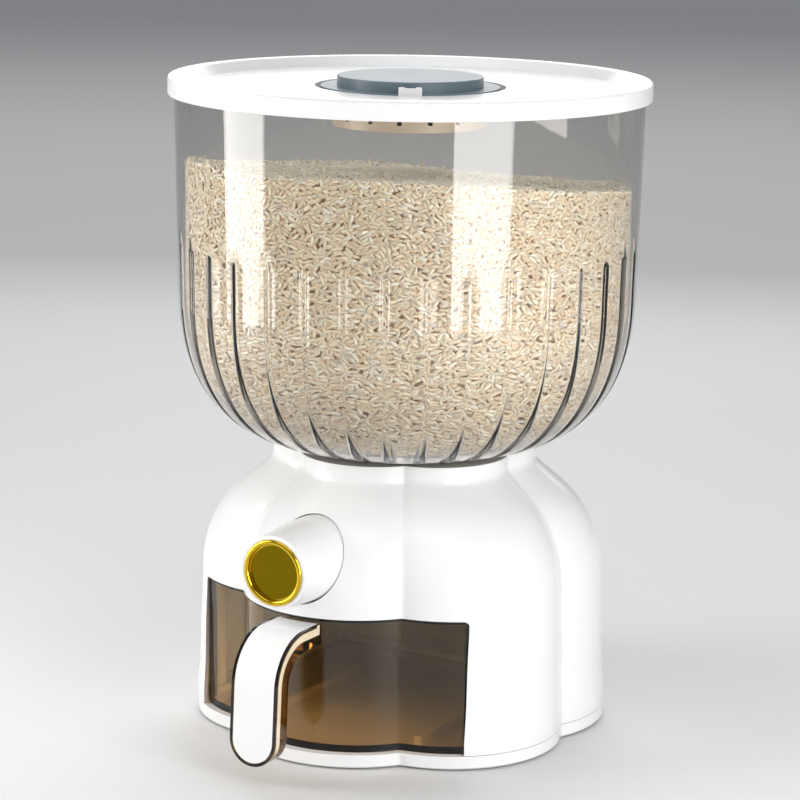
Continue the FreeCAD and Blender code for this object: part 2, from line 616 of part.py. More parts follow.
# ---------------------------------------------------------------- button
def button_barrel():
    """The white barrel: a tapered cup, open at the back, with a recess for the gold face."""
    front = lying_cone(BARREL_TIP_RADIUS, BARREL_RADIUS, BARREL_FRONT_Y, BARREL_TAIL_Y, BUTTON_Z)
    barrel = fused([front, lying_cylinder(BARREL_RADIUS, BARREL_TAIL_Y, BARREL_END_Y, BUTTON_Z)])
    barrel = rounded_edges(barrel, BARREL_EDGE,
                           lambda edge: edge.BoundBox.YMax < BARREL_FRONT_Y + NEAR)
    inner_front = BARREL_FRONT_Y + FACE_RECESS + FACE_THICK + BARREL_WALL
    hollow = lying_cone(BARREL_TIP_RADIUS - BARREL_WALL, BARREL_RADIUS - BARREL_WALL,
                        inner_front, BARREL_TAIL_Y, BUTTON_Z)
    hollow = hollow.fuse(lying_cylinder(BARREL_RADIUS - BARREL_WALL, BARREL_TAIL_Y, BARREL_END_Y,
                                        BUTTON_Z))
    recess = lying_cylinder(BARREL_TIP_RADIUS - RIM_WIDTH, BARREL_FRONT_Y,
                            BARREL_FRONT_Y + FACE_RECESS + FACE_THICK, BUTTON_Z)
    return barrel.cut(hollow).cut(recess)


def button_cap():
    """The gold face: a raised round ring about a recessed disc."""
    radius = BARREL_TIP_RADIUS - RIM_WIDTH - SNUG / 2
    back = BARREL_FRONT_Y + FACE_RECESS + FACE_THICK
    disc = lying_cylinder(radius, BARREL_FRONT_Y + FACE_RECESS, back, BUTTON_Z)
    ring = lying_cylinder(radius, BARREL_FRONT_Y - RING_PROUD, back, BUTTON_Z)
    ring = ring.cut(lying_cylinder(radius - RING_WIDTH, -FAR, back, BUTTON_Z))
    front_y = BARREL_FRONT_Y - RING_PROUD
    ring = rounded_edges(ring, RING_ROUND, lambda edge: edge.BoundBox.YMax < front_y + NEAR)
    return fused([disc, ring])


def push_rod():
    """The rod from the button to the gate, with a flange behind the button's front wall."""
    start = BARREL_FRONT_Y + FACE_RECESS + FACE_THICK + BARREL_WALL
    rod = lying_cylinder(ROD_RADIUS, start, LUG_BACK_Y - BARREL_WALL, BUTTON_Z)
    foot = lying_cylinder(SPRING_RADIUS + 2 * SPRING_WIRE, start, start + BARREL_WALL, BUTTON_Z)
    middle = (LUG_FRONT_Y + LUG_BACK_Y) / 2
    hole = cylinder(PIN_RADIUS + SNUG / 2, BUTTON_Z - FAR, BUTTON_Z + FAR, 0, middle)
    return fused([rod, foot]).cut(hole)


def gate_plate():
    """The sliding gate: a plate with one opening and a lug that takes the rod."""
    plate = box((-GATE_HALF_WIDTH, GATE_HALF_WIDTH), (LUG_BACK_Y, GATE_BACK_Y),
                (GATE_BOTTOM, GATE_BOTTOM + GATE_THICK))
    lug = box((-LUG_HALF, LUG_HALF), (LUG_FRONT_Y, LUG_BACK_Y), (BUTTON_Z - LUG_HALF, BUTTON_Z + LUG_HALF))
    opening = cylinder(OUTLET_RADIUS, GATE_BOTTOM, GATE_BOTTOM + GATE_THICK, 0, GATE_HOLE_Y)
    middle = (LUG_FRONT_Y + LUG_BACK_Y) / 2
    pin_hole = cylinder(PIN_RADIUS + SNUG / 2, BUTTON_Z - LUG_HALF, BUTTON_Z + LUG_HALF, 0, middle)
    rod_hole = lying_cylinder(ROD_RADIUS + SNUG, LUG_FRONT_Y, LUG_BACK_Y - BARREL_WALL, BUTTON_Z)
    return fused([plate, lug]).cut(rod_hole).cut(opening).cut(pin_hole)


def rod_pin():
    """The cross pin that joins the rod to the gate's lug."""
    middle = (LUG_FRONT_Y + LUG_BACK_Y) / 2
    return cylinder(PIN_RADIUS, BUTTON_Z - LUG_HALF, BUTTON_Z + LUG_HALF, 0, middle)


def return_spring():
    """The coil spring between the sleeve's back wall and the rod's foot."""
    foot_back = BARREL_FRONT_Y + FACE_RECESS + FACE_THICK + 2 * BARREL_WALL
    length = SLEEVE_BACK_Y - foot_back - 2 * SPRING_WIRE - SNUG
    helix = Part.makeHelix(length / SPRING_TURNS, length, SPRING_RADIUS)
    section = Part.Wire(Part.makeCircle(SPRING_WIRE, Vector(SPRING_RADIUS, 0, 0), BACKWARDS))
    coil = Part.Wire(helix.Edges).makePipeShell([section], True, True)
    coil.rotate(Vector(0, 0, 0), Vector(1, 0, 0), -90)
    coil.translate(Vector(0, foot_back + SPRING_WIRE + SNUG / 2, BUTTON_Z))
    return coil


# ---------------------------------------------------------------- drawer
def drawer_box(inset, bottom, top, radius):
    """A block as wide and deep as the drawer less the inset, with rounded back corners."""
    block = box((-DRAWER_HALF + inset, DRAWER_HALF - inset), (-FAR, DRAWER_BACK - inset),
                (bottom, top))
    return rounded_edges(block, radius, lambda edge: (
        edge.BoundBox.ZLength > NEAR and edge.BoundBox.YMin > 0))


def front_crest():
    """The crest radius of the drawer's upright front."""
    return crest_radius(DRAWER_TOP) - FRONT_RECESS


def handle_side_outline(near, far):
    """The handle's side view between two distances from the grip's outer face."""
    front_y = -front_crest()
    top_z = DRAWER_TOP - HANDLE_DROP
    centre = Vector(0, front_y - HANDLE_NECK, top_z - HANDLE_BEND)
    lean = math.radians(HANDLE_LEAN)
    down = Vector(0, -math.sin(lean), -math.cos(lean)) * (top_z - DRAWER_BOTTOM)

    def on_bend(offset, angle):
        radius = HANDLE_BEND - offset
        return centre + Vector(0, -radius * math.cos(angle), radius * math.sin(angle))

    def side(offset):
        root = Vector(0, front_y + DRAWER_FRONT / 2, top_z - offset)
        start, end = on_bend(offset, math.pi / 2), on_bend(offset, lean)
        middle = on_bend(offset, (math.pi / 2 + lean) / 2)
        return [Part.LineSegment(root, start).toShape(), Part.Arc(start, middle, end).toShape(),
                Part.LineSegment(end, end + down).toShape()]

    outer, inner = side(near), side(far)
    root_edge = Part.LineSegment(outer[0].Vertexes[0].Point, inner[0].Vertexes[0].Point).toShape()
    tip_edge = Part.LineSegment(outer[2].Vertexes[1].Point, inner[2].Vertexes[1].Point).toShape()
    return Part.Wire(Part.sortEdges(outer + inner + [root_edge, tip_edge])[0])


def handle_strip(near, far, width, tip_z):
    """A bent strip of the handle: its side view, cut by its round-ended front view."""
    half = width / 2
    side = Part.Face(handle_side_outline(near, far)).extrude(Vector(width, 0, 0))
    side.translate(Vector(-half, 0, 0))
    centre_z = tip_z + half
    tall = box((-FAR, FAR), (-FAR, 0), (centre_z, FAR))
    round_end = Part.makeCylinder(half, FAR, Vector(0, -FAR, centre_z), BACKWARDS)
    return side.common(tall.fuse(round_end))


def drawer_cup():
    """The see-through drawer, with its upright lobed front and its handle frame."""
    block = drawer_box(0.0, DRAWER_BOTTOM, DRAWER_TOP, DRAWER_CORNER)
    profile = box((-DRAWER_HALF, DRAWER_HALF), (-FAR, FAR), (DRAWER_BOTTOM, DRAWER_TOP))
    profile = rounded_edges(profile, WINDOW_CORNER - REVEAL, lambda edge: (
        edge.BoundBox.YLength > NEAR and edge.BoundBox.ZMin > DRAWER_TOP - NEAR))
    crest = front_crest()
    body = lobed_prism(crest, DRAWER_BOTTOM, DRAWER_TOP)
    block = block.common(profile).common(body)
    hollow = drawer_box(DRAWER_WALL, DRAWER_BOTTOM + DRAWER_FLOOR, FAR, DRAWER_CORNER - DRAWER_WALL)
    cup = block.cut(hollow.common(lobed_prism(crest - DRAWER_FRONT, DRAWER_BOTTOM, FAR)))
    frame = handle_strip(0.0, HANDLE_DEPTH, HANDLE_WIDTH, TIP_Z)
    pocket = handle_strip(0.0, GRIP_THICK, GRIP_WIDTH + 2 * SNUG, TIP_Z + GRIP_MARGIN - SNUG)
    return fused([cup, frame]).cut(pocket.cut(body))


def handle_grip():
    """The white strip let into the front of the handle."""
    strip = handle_strip(0.0, GRIP_THICK, GRIP_WIDTH, TIP_Z + GRIP_MARGIN)
    return strip.cut(lobed_prism(front_crest() + SNUG, DRAWER_BOTTOM, DRAWER_TOP))


# ---------------------------------------------------------------- hopper
def bowl_point(turn, inset):
    """A point (radius, height) of the bowl's curve, from the waist (0) to the flat bottom (90)."""
    power = 2.0 / BOWL_SQUARENESS
    angle = math.radians(turn)
    radius = BOWL_FLAT + (BOWL_REACH - inset) * max(math.cos(angle), 0.0) ** power
    return radius, WAIST_Z - (BOWL_DEPTH - inset) * math.sin(angle) ** power


def bowl_curve(inset, end_turn=90.0, steps=10):
    """The bowl's curve as a spline in the plane y = 0."""
    points = [Vector(radius, 0, z) for radius, z in
              (bowl_point(end_turn * step / steps, inset) for step in range(steps + 1))]
    wall = Vector(HOPPER_WAIST_RADIUS - HOPPER_RIM_RADIUS, 0, WAIST_Z - HOPPER_TOP).normalize()
    last = points[-1] - points[-2]
    end = Vector(-1, 0, 0) if end_turn == 90.0 else last.normalize()
    curve = Part.BSplineCurve()
    curve.interpolate(Points=points, InitialTangent=wall, FinalTangent=end)
    return curve


def hopper_flutes():
    """Cutters for the round-ended flutes that run down the wall's foot and the bowl."""
    cutter_radius = ((FLUTE_WIDTH / 2) ** 2 + FLUTE_DEPTH ** 2) / (2 * FLUTE_DEPTH)
    end_radius = BOWL_FLAT + FLUTE_END
    end_turn = next(turn for turn in range(90) if bowl_point(turn, 0.0)[0] < end_radius)
    path = bowl_curve(FLUTE_DEPTH - cutter_radius, float(end_turn)).toShape()
    start, end = path.Vertexes[0].Point, path.Vertexes[-1].Point
    tangent = path.tangentAt(path.FirstParameter)
    section = Part.Wire(Part.makeCircle(cutter_radius, start, tangent))
    channel = Part.Wire(path).makePipeShell([section], True, False)
    wall = Vector(HOPPER_RIM_RADIUS - HOPPER_WAIST_RADIUS, 0, HOPPER_TOP - WAIST_Z).normalize()
    straight = Part.makeCylinder(cutter_radius, FLUTE_RISE, start, wall)
    flute = fused([channel, straight, Part.makeSphere(cutter_radius, start + wall * FLUTE_RISE),
                   Part.makeSphere(cutter_radius, end)])
    return around(flute, FLUTES, 180.0 / FLUTES)


def hopper():
    """The clear bucket: wall, fluted bowl, spout and the skirt that sits in the neck."""
    outer, inner = bowl_curve(0.0).toShape(), bowl_curve(HOPPER_WALL).toShape()
    inner_bottom = BOWL_BOTTOM + HOPPER_WALL
    corners = [Vector(HOPPER_WAIST_RADIUS, 0, WAIST_Z), Vector(HOPPER_RIM_RADIUS, 0, HOPPER_TOP),
               Vector(HOPPER_RIM_RADIUS - HOPPER_WALL, 0, HOPPER_TOP),
               Vector(HOPPER_WAIST_RADIUS - HOPPER_WALL, 0, WAIST_Z)]
    bottom = [Vector(BOWL_FLAT, 0, inner_bottom), Vector(SPOUT_RADIUS, 0, inner_bottom),
              Vector(SPOUT_RADIUS, 0, BOWL_BOTTOM), Vector(BOWL_FLAT, 0, BOWL_BOTTOM)]
    edges = Part.makePolygon(corners).Edges + Part.makePolygon(bottom).Edges + [outer, inner]
    outline = Part.Wire(Part.sortEdges(edges)[0])
    bucket = Part.Face(outline).revolve(Vector(0, 0, 0), UP, 360)
    bucket = bucket.cut(Part.makeCompound(hopper_flutes()))

    spout_outer = SPOUT_RADIUS + SPOUT_WALL
    overlap = BOWL_BOTTOM + HOPPER_WALL / 2
    spout = turned([(SPOUT_RADIUS, BOWL_BOTTOM - SPOUT_LENGTH), (spout_outer, BOWL_BOTTOM - SPOUT_LENGTH),
                    (spout_outer, overlap), (SPOUT_RADIUS, overlap)])
    skirt_inner = SKIRT_RADIUS - SKIRT_WALL
    skirt_top = BOWL_BOTTOM + HOPPER_WALL
    skirt = turned([(skirt_inner, SEAL_TOP + RUN), (SKIRT_RADIUS, SEAL_TOP + RUN),
                    (SKIRT_RADIUS, skirt_top), (skirt_inner, skirt_top)])
    inside = [Vector(0, 0, HOPPER_TOP), corners[2], corners[3]]
    cavity_edges = Part.makePolygon(inside).Edges + [inner]
    cavity_edges += Part.makePolygon([bottom[0], Vector(0, 0, inner_bottom), inside[0]]).Edges
    cavity = Part.Face(Part.Wire(Part.sortEdges(cavity_edges)[0])).revolve(Vector(0, 0, 0), UP, 360)
    return fused([bucket, spout, skirt.cut(cavity)])


# ---------------------------------------------------------------- lid
def lid():
    """The dished lid with its skirt, the recess for the cap and the notch at the latch."""
    skirt_inner = LID_RADIUS - LID_SKIRT_WALL
    skirt_bottom = BAND_TOP - LID_SKIRT
    band_inner = LID_RADIUS - BAND_WIDTH
    dish = band_inner - DISH_SLOPE
    box_ledge = BOX_HOLE + BOX_LAND
    collar = CAP_RECESS_RADIUS + LID_THICK
    underside = DISH_TOP - LID_THICK
    recess_bottom = RECESS_Z - LID_THICK
    plate = turned([
        (skirt_inner, skirt_bottom), (LID_RADIUS, skirt_bottom), (LID_RADIUS, BAND_TOP),
        (band_inner, BAND_TOP), (dish, DISH_TOP), (CAP_RECESS_RADIUS, DISH_TOP),
        (CAP_RECESS_RADIUS, RECESS_Z), (BOX_HOLE, RECESS_Z), (BOX_HOLE, recess_bottom),
        (collar, recess_bottom), (collar, underside), (dish + LID_THICK / 2, underside),
        (band_inner + LID_THICK / 2, LID_UNDERSIDE), (skirt_inner, LID_UNDERSIDE)])
    plate = rounded_edges(plate, LID_EDGE, lambda edge: (
        edge.BoundBox.XMax > LID_RADIUS - NEAR and edge.BoundBox.ZLength < NEAR
        and edge.BoundBox.ZMin > BAND_TOP - NEAR))
    plate = rounded_edges(plate, LID_EDGE / 2, lambda edge: (
        edge.BoundBox.XMax > LID_RADIUS - NEAR and edge.BoundBox.ZLength < NEAR
        and edge.BoundBox.ZMin < skirt_bottom + NEAR))
    reach = CAP_RECESS_RADIUS + NOTCH_DEPTH
    notch_radius = ((NOTCH_WIDTH / 2) ** 2 + NOTCH_DEPTH ** 2) / (2 * NOTCH_DEPTH)
    notch = cylinder(notch_radius, RECESS_Z, DISH_TOP + OVER, 0, notch_radius - reach)
    notch = notch.cut(cylinder(BOX_HOLE + BOX_LAND, RECESS_Z, DISH_TOP + OVER))
    notch.rotate(Vector(0, 0, 0), UP, LATCH_BEARING)
    sector = box((-NOTCH_WIDTH, NOTCH_WIDTH), (-FAR, -box_ledge / 2), (RECESS_Z, DISH_TOP + OVER))
    sector.rotate(Vector(0, 0, 0), UP, LATCH_BEARING)
    return plate.cut(notch.common(sector))


def lid_seal():
    """The soft ring inside the lid that closes on the hopper's rim."""
    outer = LID_RADIUS - LID_SKIRT_WALL - SNUG
    inner = outer - LID_SEAL_WIDTH
    return turned([(inner, HOPPER_TOP + RUN), (outer, HOPPER_TOP + RUN), (outer, LID_UNDERSIDE),
                   (inner, LID_UNDERSIDE)])


def desiccant_box():
    """The cup under the cap that holds the drying agent, with vents in its wall."""
    bottom = RECESS_Z - BOX_DEPTH
    flange_top = RECESS_Z + BOX_FLANGE
    flange = BOX_HOLE + BOX_LAND - RUN
    cup = turned([(0, bottom), (BOX_RADIUS, bottom), (BOX_RADIUS, RECESS_Z), (flange, RECESS_Z),
                  (flange, flange_top), (BOX_RADIUS - BOX_WALL, flange_top),
                  (BOX_RADIUS - BOX_WALL, bottom + BOX_WALL), (0, bottom + BOX_WALL)])
    vent_bottom = bottom + 2 * BOX_WALL
    vent = box((-VENT_WIDTH / 2, VENT_WIDTH / 2), (-BOX_RADIUS - OVER, -BOX_RADIUS + 2 * BOX_WALL),
               (vent_bottom, vent_bottom + VENT_HEIGHT))
    return cup.cut(Part.makeCompound(around(vent, VENTS)))


def cap():
    """The grey-blue cap: a thin flange, a raised knob and a plug that enters the box."""
    plug = BOX_RADIUS - BOX_WALL - O_RING
    plug_bottom = CAP_UNDERSIDE - PLUG_DEPTH
    body = turned([(0, KNOB_TOP - CAP_TOP), (KNOB_RADIUS - PLUG_WALL, KNOB_TOP - CAP_TOP),
                   (plug - PLUG_WALL, CAP_UNDERSIDE), (plug - PLUG_WALL, plug_bottom),
                   (plug, plug_bottom), (plug, CAP_UNDERSIDE), (CAP_FLANGE_RADIUS, CAP_UNDERSIDE),
                   (CAP_FLANGE_RADIUS, FLANGE_RIM_Z), (KNOB_RADIUS, FLANGE_RIM_Z),
                   (KNOB_RADIUS, KNOB_TOP), (0, KNOB_TOP)])
    body = rounded_edges(body, KNOB_EDGE, lambda edge: (
        edge.BoundBox.ZMin > KNOB_TOP - NEAR and edge.BoundBox.ZLength < NEAR))
    groove_bottom = plug_bottom + O_RING
    groove_top = groove_bottom + 2 * O_RING
    groove = turned([(plug - O_RING, groove_bottom), (plug + OVER, groove_bottom),
                     (plug + OVER, groove_top), (plug - O_RING, groove_top)])
    return body.cut(groove)


def cap_seal():
    """The O-ring in the plug's groove."""
    plug = BOX_RADIUS - BOX_WALL - O_RING
    plug_bottom = CAP_UNDERSIDE - PLUG_DEPTH
    inner, outer = plug - O_RING, plug + O_RING - SNUG
    bottom, top = plug_bottom + O_RING, plug_bottom + 3 * O_RING
    return turned([(inner, bottom), (outer, bottom), (outer, top), (inner, top)])


def cap_latch():
    """The white spring tab at the cap's edge, with a small dip in its top."""
    top = DISH_TOP + LATCH_HEIGHT
    half = LATCH_WIDTH / 2
    tab = box((-half, half), (-LATCH_BACK - LATCH_THICK, -LATCH_BACK), (RECESS_Z + SNUG, top))
    tab = rounded_edges(tab, LATCH_THICK / 3, lambda edge: (
        edge.BoundBox.YLength > NEAR and edge.BoundBox.ZMin > top - NEAR))
    dip = box((-LATCH_DIP_WIDTH / 2, LATCH_DIP_WIDTH / 2), (-FAR, 0), (top - LATCH_DIP, top + OVER))
    tab = tab.cut(dip)
    tab.rotate(Vector(0, 0, 0), UP, LATCH_BEARING)
    return tab


PIECES = (
    base_shell, base_plate, rubber_feet, plate_screws, drawer_deck, deck_screws, gate_housing,
    housing_screws, outlet_chute, feed_funnel, hopper_seal, button_guide,
    button_barrel, button_cap, push_rod, gate_plate, rod_pin, return_spring,
    drawer_cup, handle_grip, hopper, lid, lid_seal, desiccant_box, cap_latch, cap, cap_seal,
)

os.makedirs("parts", exist_ok=True)
for piece in PIECES:
    piece().exportStep("parts/" + piece.__name__ + ".step")
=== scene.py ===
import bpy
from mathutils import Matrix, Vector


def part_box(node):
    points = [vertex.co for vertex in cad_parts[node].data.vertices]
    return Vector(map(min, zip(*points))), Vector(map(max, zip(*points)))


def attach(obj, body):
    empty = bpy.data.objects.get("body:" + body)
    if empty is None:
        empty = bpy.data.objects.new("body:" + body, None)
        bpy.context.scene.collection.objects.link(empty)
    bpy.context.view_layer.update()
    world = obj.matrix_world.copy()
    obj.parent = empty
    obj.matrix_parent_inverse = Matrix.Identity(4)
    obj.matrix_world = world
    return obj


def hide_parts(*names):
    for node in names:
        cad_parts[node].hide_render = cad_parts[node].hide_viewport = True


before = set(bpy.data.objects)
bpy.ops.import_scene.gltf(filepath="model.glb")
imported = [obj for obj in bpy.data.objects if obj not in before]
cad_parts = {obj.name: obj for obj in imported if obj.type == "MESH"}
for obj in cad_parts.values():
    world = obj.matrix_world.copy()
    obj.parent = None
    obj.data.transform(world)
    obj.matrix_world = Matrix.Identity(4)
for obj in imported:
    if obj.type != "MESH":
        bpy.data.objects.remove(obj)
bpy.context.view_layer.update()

import math

import bmesh
import bpy
from bpy.props import FloatProperty, FloatVectorProperty, IntProperty, PointerProperty
from mathutils import Matrix, Vector

# The looks of a rice dispenser with a drawer: a clear fluted hopper of rice with a dished lid, on a
# lobed white base with a push button. Metres, +Z up. The button and the drawer face -Y.

bl_info = {
    "name": "Rice Dispenser",
    "version": (1, 0, 0),
    "blender": (4, 5, 0),
    "location": "View3D > Sidebar > Dispenser",
    "description": "Builds the finish and the detailed pieces of a rice dispenser round its frame",
    "category": "Object",
}

MM = 0.001

# ------------ places read from the frame
HOPPER_LOW, HOPPER_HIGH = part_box("hopper")
SKIRT_Z = HOPPER_LOW.z
RIM_RADIUS = HOPPER_HIGH.x
RIM_Z = HOPPER_HIGH.z
NECK_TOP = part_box("base_shell")[1].z


# ------------ node trees
class Wire:
    """A node's output that takes part in sums: each operation adds a Math node."""

    def __init__(self, graph, socket):
        self.graph = graph
        self.socket = socket

    def maths(self, operation, *operands):
        values = dict(enumerate(operands))
        return self.graph.add("ShaderNodeMath", {"operation": operation}, values)

    def __add__(self, other):
        return self.maths("ADD", self, other)

    def __radd__(self, other):
        return self.maths("ADD", other, self)

    def __sub__(self, other):
        return self.maths("SUBTRACT", self, other)

    def __rsub__(self, other):
        return self.maths("SUBTRACT", other, self)

    def __mul__(self, other):
        return self.maths("MULTIPLY", self, other)

    def __rmul__(self, other):
        return self.maths("MULTIPLY", other, self)

    def __truediv__(self, other):
        return self.maths("DIVIDE", self, other)

    def __rtruediv__(self, other):
        return self.maths("DIVIDE", other, self)

    def __pow__(self, other):
        return self.maths("POWER", self, other)

    def __mod__(self, other):
        return self.maths("FLOORED_MODULO", self, other)

    def __gt__(self, other):
        return self.maths("GREATER_THAN", self, other)

    def __lt__(self, other):
        return self.maths("LESS_THAN", self, other)

    def floor(self):
        return self.maths("FLOOR", self)

    def root(self):
        return self.maths("SQRT", self)

    def clamped(self):
        return self.maths("MINIMUM", self.maths("MAXIMUM", self, 0.0), 1.0)

    def at_least(self, other):
        return self.maths("MAXIMUM", self, other)

    def at_most(self, other):
        return self.maths("MINIMUM", self, other)

    def sine(self):
        return self.maths("SINE", self)

    def cosine(self):
        return self.maths("COSINE", self)


class Graph:
    """A node tree, with one way to add a node to it."""

    def __init__(self, tree):
        self.tree = tree

    def add(self, kind, settings=None, values=None, output=0):
        """Adds a node. Settings come first, then the values or wires of its sockets."""
        node = self.tree.nodes.new(kind)
        for name, setting in (settings or {}).items():
            setattr(node, name, setting)
        for name, value in (values or {}).items():
            if isinstance(value, Wire):
                self.tree.links.new(value.socket, node.inputs[name])
            else:
                node.inputs[name].default_value = value
        if not node.outputs:
            return None
        return Wire(self, node.outputs[output])

    def also(self, wire, output):
        """Another output of the node that a wire comes from."""
        return Wire(self, wire.socket.node.outputs[output])


def rgba(colour):
    return (*colour, 1.0)


def scaled(colour, share):
    """A darker or paler shade of a colour."""
    return tuple(channel * share for channel in colour)


def new_material(name):
    """An empty material, its graph and a wire with the place on the piece in metres."""
    material = bpy.data.materials.new(name)
    material.use_nodes = True
    material.node_tree.nodes.clear()
    graph = Graph(material.node_tree)
    place = graph.add("ShaderNodeTexCoord", output="Object")
    return material, graph, place


def surface(graph, shader, volume=None):
    """Ends a material with its surface shader, and a volume shader where there is one."""
    ends = {"Surface": shader}
    if volume is not None:
        ends["Volume"] = volume
    graph.add("ShaderNodeOutputMaterial", {}, ends)


def noise(graph, place, scale, detail=2.0):
    return graph.add("ShaderNodeTexNoise", {}, {
        "Vector": place, "Scale": scale, "Detail": detail}, "Fac")


def split(graph, vector):
    """The X, Y and Z of a vector."""
    x = graph.add("ShaderNodeSeparateXYZ", {}, {0: vector})
    return x, graph.also(x, 1), graph.also(x, 2)


def joined(graph, x, y, z):
    return graph.add("ShaderNodeCombineXYZ", {}, {0: x, 1: y, 2: z})


def mixed(graph, share, first, second):
    """A colour between two colours or colour wires."""
    return graph.add("ShaderNodeMix", {"data_type": "RGBA"}, {
        "Factor": share, 6: first, 7: second}, 2)


def bump(graph, height, strength, distance):
    return graph.add("ShaderNodeBump", {}, {
        "Height": height, "Strength": strength, "Distance": distance}, "Normal")


def principled(graph, values):
    return graph.add("ShaderNodeBsdfPrincipled", {}, values)


def plastic(name, colour, gloss, grain=0.02, coat=0.0):
    """Moulded plastic: a faint cloudiness of colour, uneven gloss and a fine skin."""
    material, graph, place = new_material(name)
    cloud = noise(graph, place, 14.0, 3.0)
    skin = noise(graph, place, 1500.0, 1.0)
    flow = noise(graph, place, 40.0)
    tint = mixed(graph, cloud, rgba(scaled(colour, 0.97)), rgba(colour))
    rough = gloss + (flow - 0.5) * (0.2 * gloss) + (skin - 0.5) * 0.04
    surface(graph, principled(graph, {
        "Base Color": tint, "Roughness": rough.clamped(), "IOR": 1.5, "Coat Weight": coat,
        "Coat Roughness": 0.08, "Normal": bump(graph, skin, grain, 0.02 * MM)}))
    return material


def rubber(name, colour):
    """Soft rubber: matt, with a fine pebbled skin."""
    material, graph, place = new_material(name)
    pebble = graph.add("ShaderNodeTexVoronoi", {}, {"Vector": place, "Scale": 1400.0}, "Distance")
    wear = noise(graph, place, 60.0, 3.0)
    pale = tuple(min(channel * 1.35 + 0.01, 1.0) for channel in colour)
    surface(graph, principled(graph, {
        "Base Color": mixed(graph, wear, rgba(colour), rgba(pale)),
        "Roughness": (0.62 + wear * 0.2).clamped(), "IOR": 1.5,
        "Normal": bump(graph, pebble, 0.3, 0.05 * MM)}))
    return material


def brushed_metal(name, colour, gloss, stretch):
    """Metal with fine lines; stretch gives the grain's scale along each axis."""
    material, graph, place = new_material(name)
    lined = graph.add("ShaderNodeVectorMath", {"operation": "MULTIPLY"}, {0: place, 1: stretch})
    lines = noise(graph, lined, 900.0, 3.0)
    patch = noise(graph, place, 55.0)
    surface(graph, principled(graph, {
        "Base Color": mixed(graph, patch, rgba(scaled(colour, 0.82)), rgba(colour)),
        "Metallic": 1.0, "Roughness": (gloss + (lines - 0.5) * 0.12).clamped(),
        "Normal": bump(graph, lines, 0.08, 0.02 * MM)}))
    return material


DISC_SHARE = 0.80    # the disc's radius as a share of the gold face's


def gold_face(name, ring, disc, box):
    """Gold plating: a bright rim about a darker disc with fine rings turned into it."""
    material, graph, place = new_material(name)
    low, high = box
    centre = (low + high) / 2.0
    x, _, z = split(graph, graph.add("ShaderNodeVectorMath", {"operation": "SUBTRACT"}, {
        0: place, 1: centre}))
    radius = (x * x + z * z).root() / ((high.x - low.x) / 2.0)
    patch = noise(graph, place, 60.0)
    rings = noise(graph, joined(graph, radius * 90.0, 0.0, 0.0), 1.0)
    on_ring = ((radius - DISC_SHARE) * 60.0).clamped()
    middle = mixed(graph, patch, rgba(scaled(disc, 0.85)), rgba(disc))
    surface(graph, principled(graph, {
        "Base Color": mixed(graph, on_ring, middle, rgba(ring)), "Metallic": 1.0,
        "Roughness": (0.10 + rings * 0.06).clamped(),
        "Normal": bump(graph, rings, 0.05, 0.02 * MM)}))
    return material


RIM_BAND, FLOOR_BAND, SIDE_BAND = 1.3 * MM, 2.8 * MM, 1.6 * MM    # widths of the painted shade along the front's rim, floor and sides
FRONT_Y, HANDLE_Y = -60.0 * MM, -105.0 * MM    # what lies before them is front, or handle


def painted_front_edge_shade(graph, place, box):
    """Painted shade where the drawer's front ends at its rim, floor and sides, seen edge-on, from 0
    to 1.
    """
    low, high = box
    x, y, z = split(graph, place)
    _, _, flat = split(graph, graph.add("ShaderNodeTexCoord", output="Normal"))
    band = (z > high.z - RIM_BAND).at_least(z < low.z + FLOOR_BAND)
    band = band.at_least((x * x).root() > high.x - SIDE_BAND)
    return band * (y < FRONT_Y) * (flat * flat < 0.5)


def painted_handle_rim_shade(graph, place, sizes):
    """Painted shade on the front rim of the handle's frame, round the white grip, from 0 to 1."""
    x, y, z = split(graph, place)
    forwards = 0.0 - y - sizes.bend_y
    above = z - sizes.bend_z
    lean = (0.0 - above).at_least(0.0) * math.tan(sizes.lean)
    forwards = (forwards - lean).at_least(0.0)
    above = above.at_least(0.0)
    outside = (forwards * forwards + above * above).root() > sizes.bend - sizes.rim_depth
    low = (sizes.tip_centre - z).at_least(0.0)
    aside = (x * x + low * low).root() > sizes.rim_start
    return outside * aside * (y < HANDLE_Y)


# Painted shade: the dark brown that the plastic's edges show when seen edge-on, put into its colour.
PAINTED_EDGE_SHADE = (0.015, 0.011, 0.008)


def clear_plastic(name, tint, density, shine=0.5, edges=None):
    """Clear or tinted moulded plastic: the tint deepens with thickness, and lamps shine through.
    Edges gives, from the graph and the place, how much painted shade darkens the surface there."""
    material, graph, place = new_material(name)
    clean = rgba((1.0, 1.0, 1.0))
    if edges is not None:
        # Painted shade: the colour turns dark brown where the edges ask.
        clean = mixed(graph, edges(graph, place), clean, rgba(PAINTED_EDGE_SHADE))
    flow = noise(graph, place, 9.0)
    haze = noise(graph, place, 120.0)
    shader = principled(graph, {
        "Base Color": clean, "Roughness": (0.012 + haze * 0.012).clamped(),
        "IOR": 1.49, "Specular IOR Level": shine, "Transmission Weight": 1.0,
        "Normal": bump(graph, flow, 0.004, 1.0 * MM)})
    lamp_ray = graph.add("ShaderNodeLightPath", output="Is Shadow Ray")
    through = graph.add("ShaderNodeBsdfTransparent", {}, {"Color": rgba((0.96, 0.96, 0.96))})
    both = graph.add("ShaderNodeMixShader", {}, {0: lamp_ray, 1: shader, 2: through})
    depth = graph.add("ShaderNodeVolumeAbsorption", {}, {"Color": rgba(tint), "Density": density})
    surface(graph, both, depth)
    return material


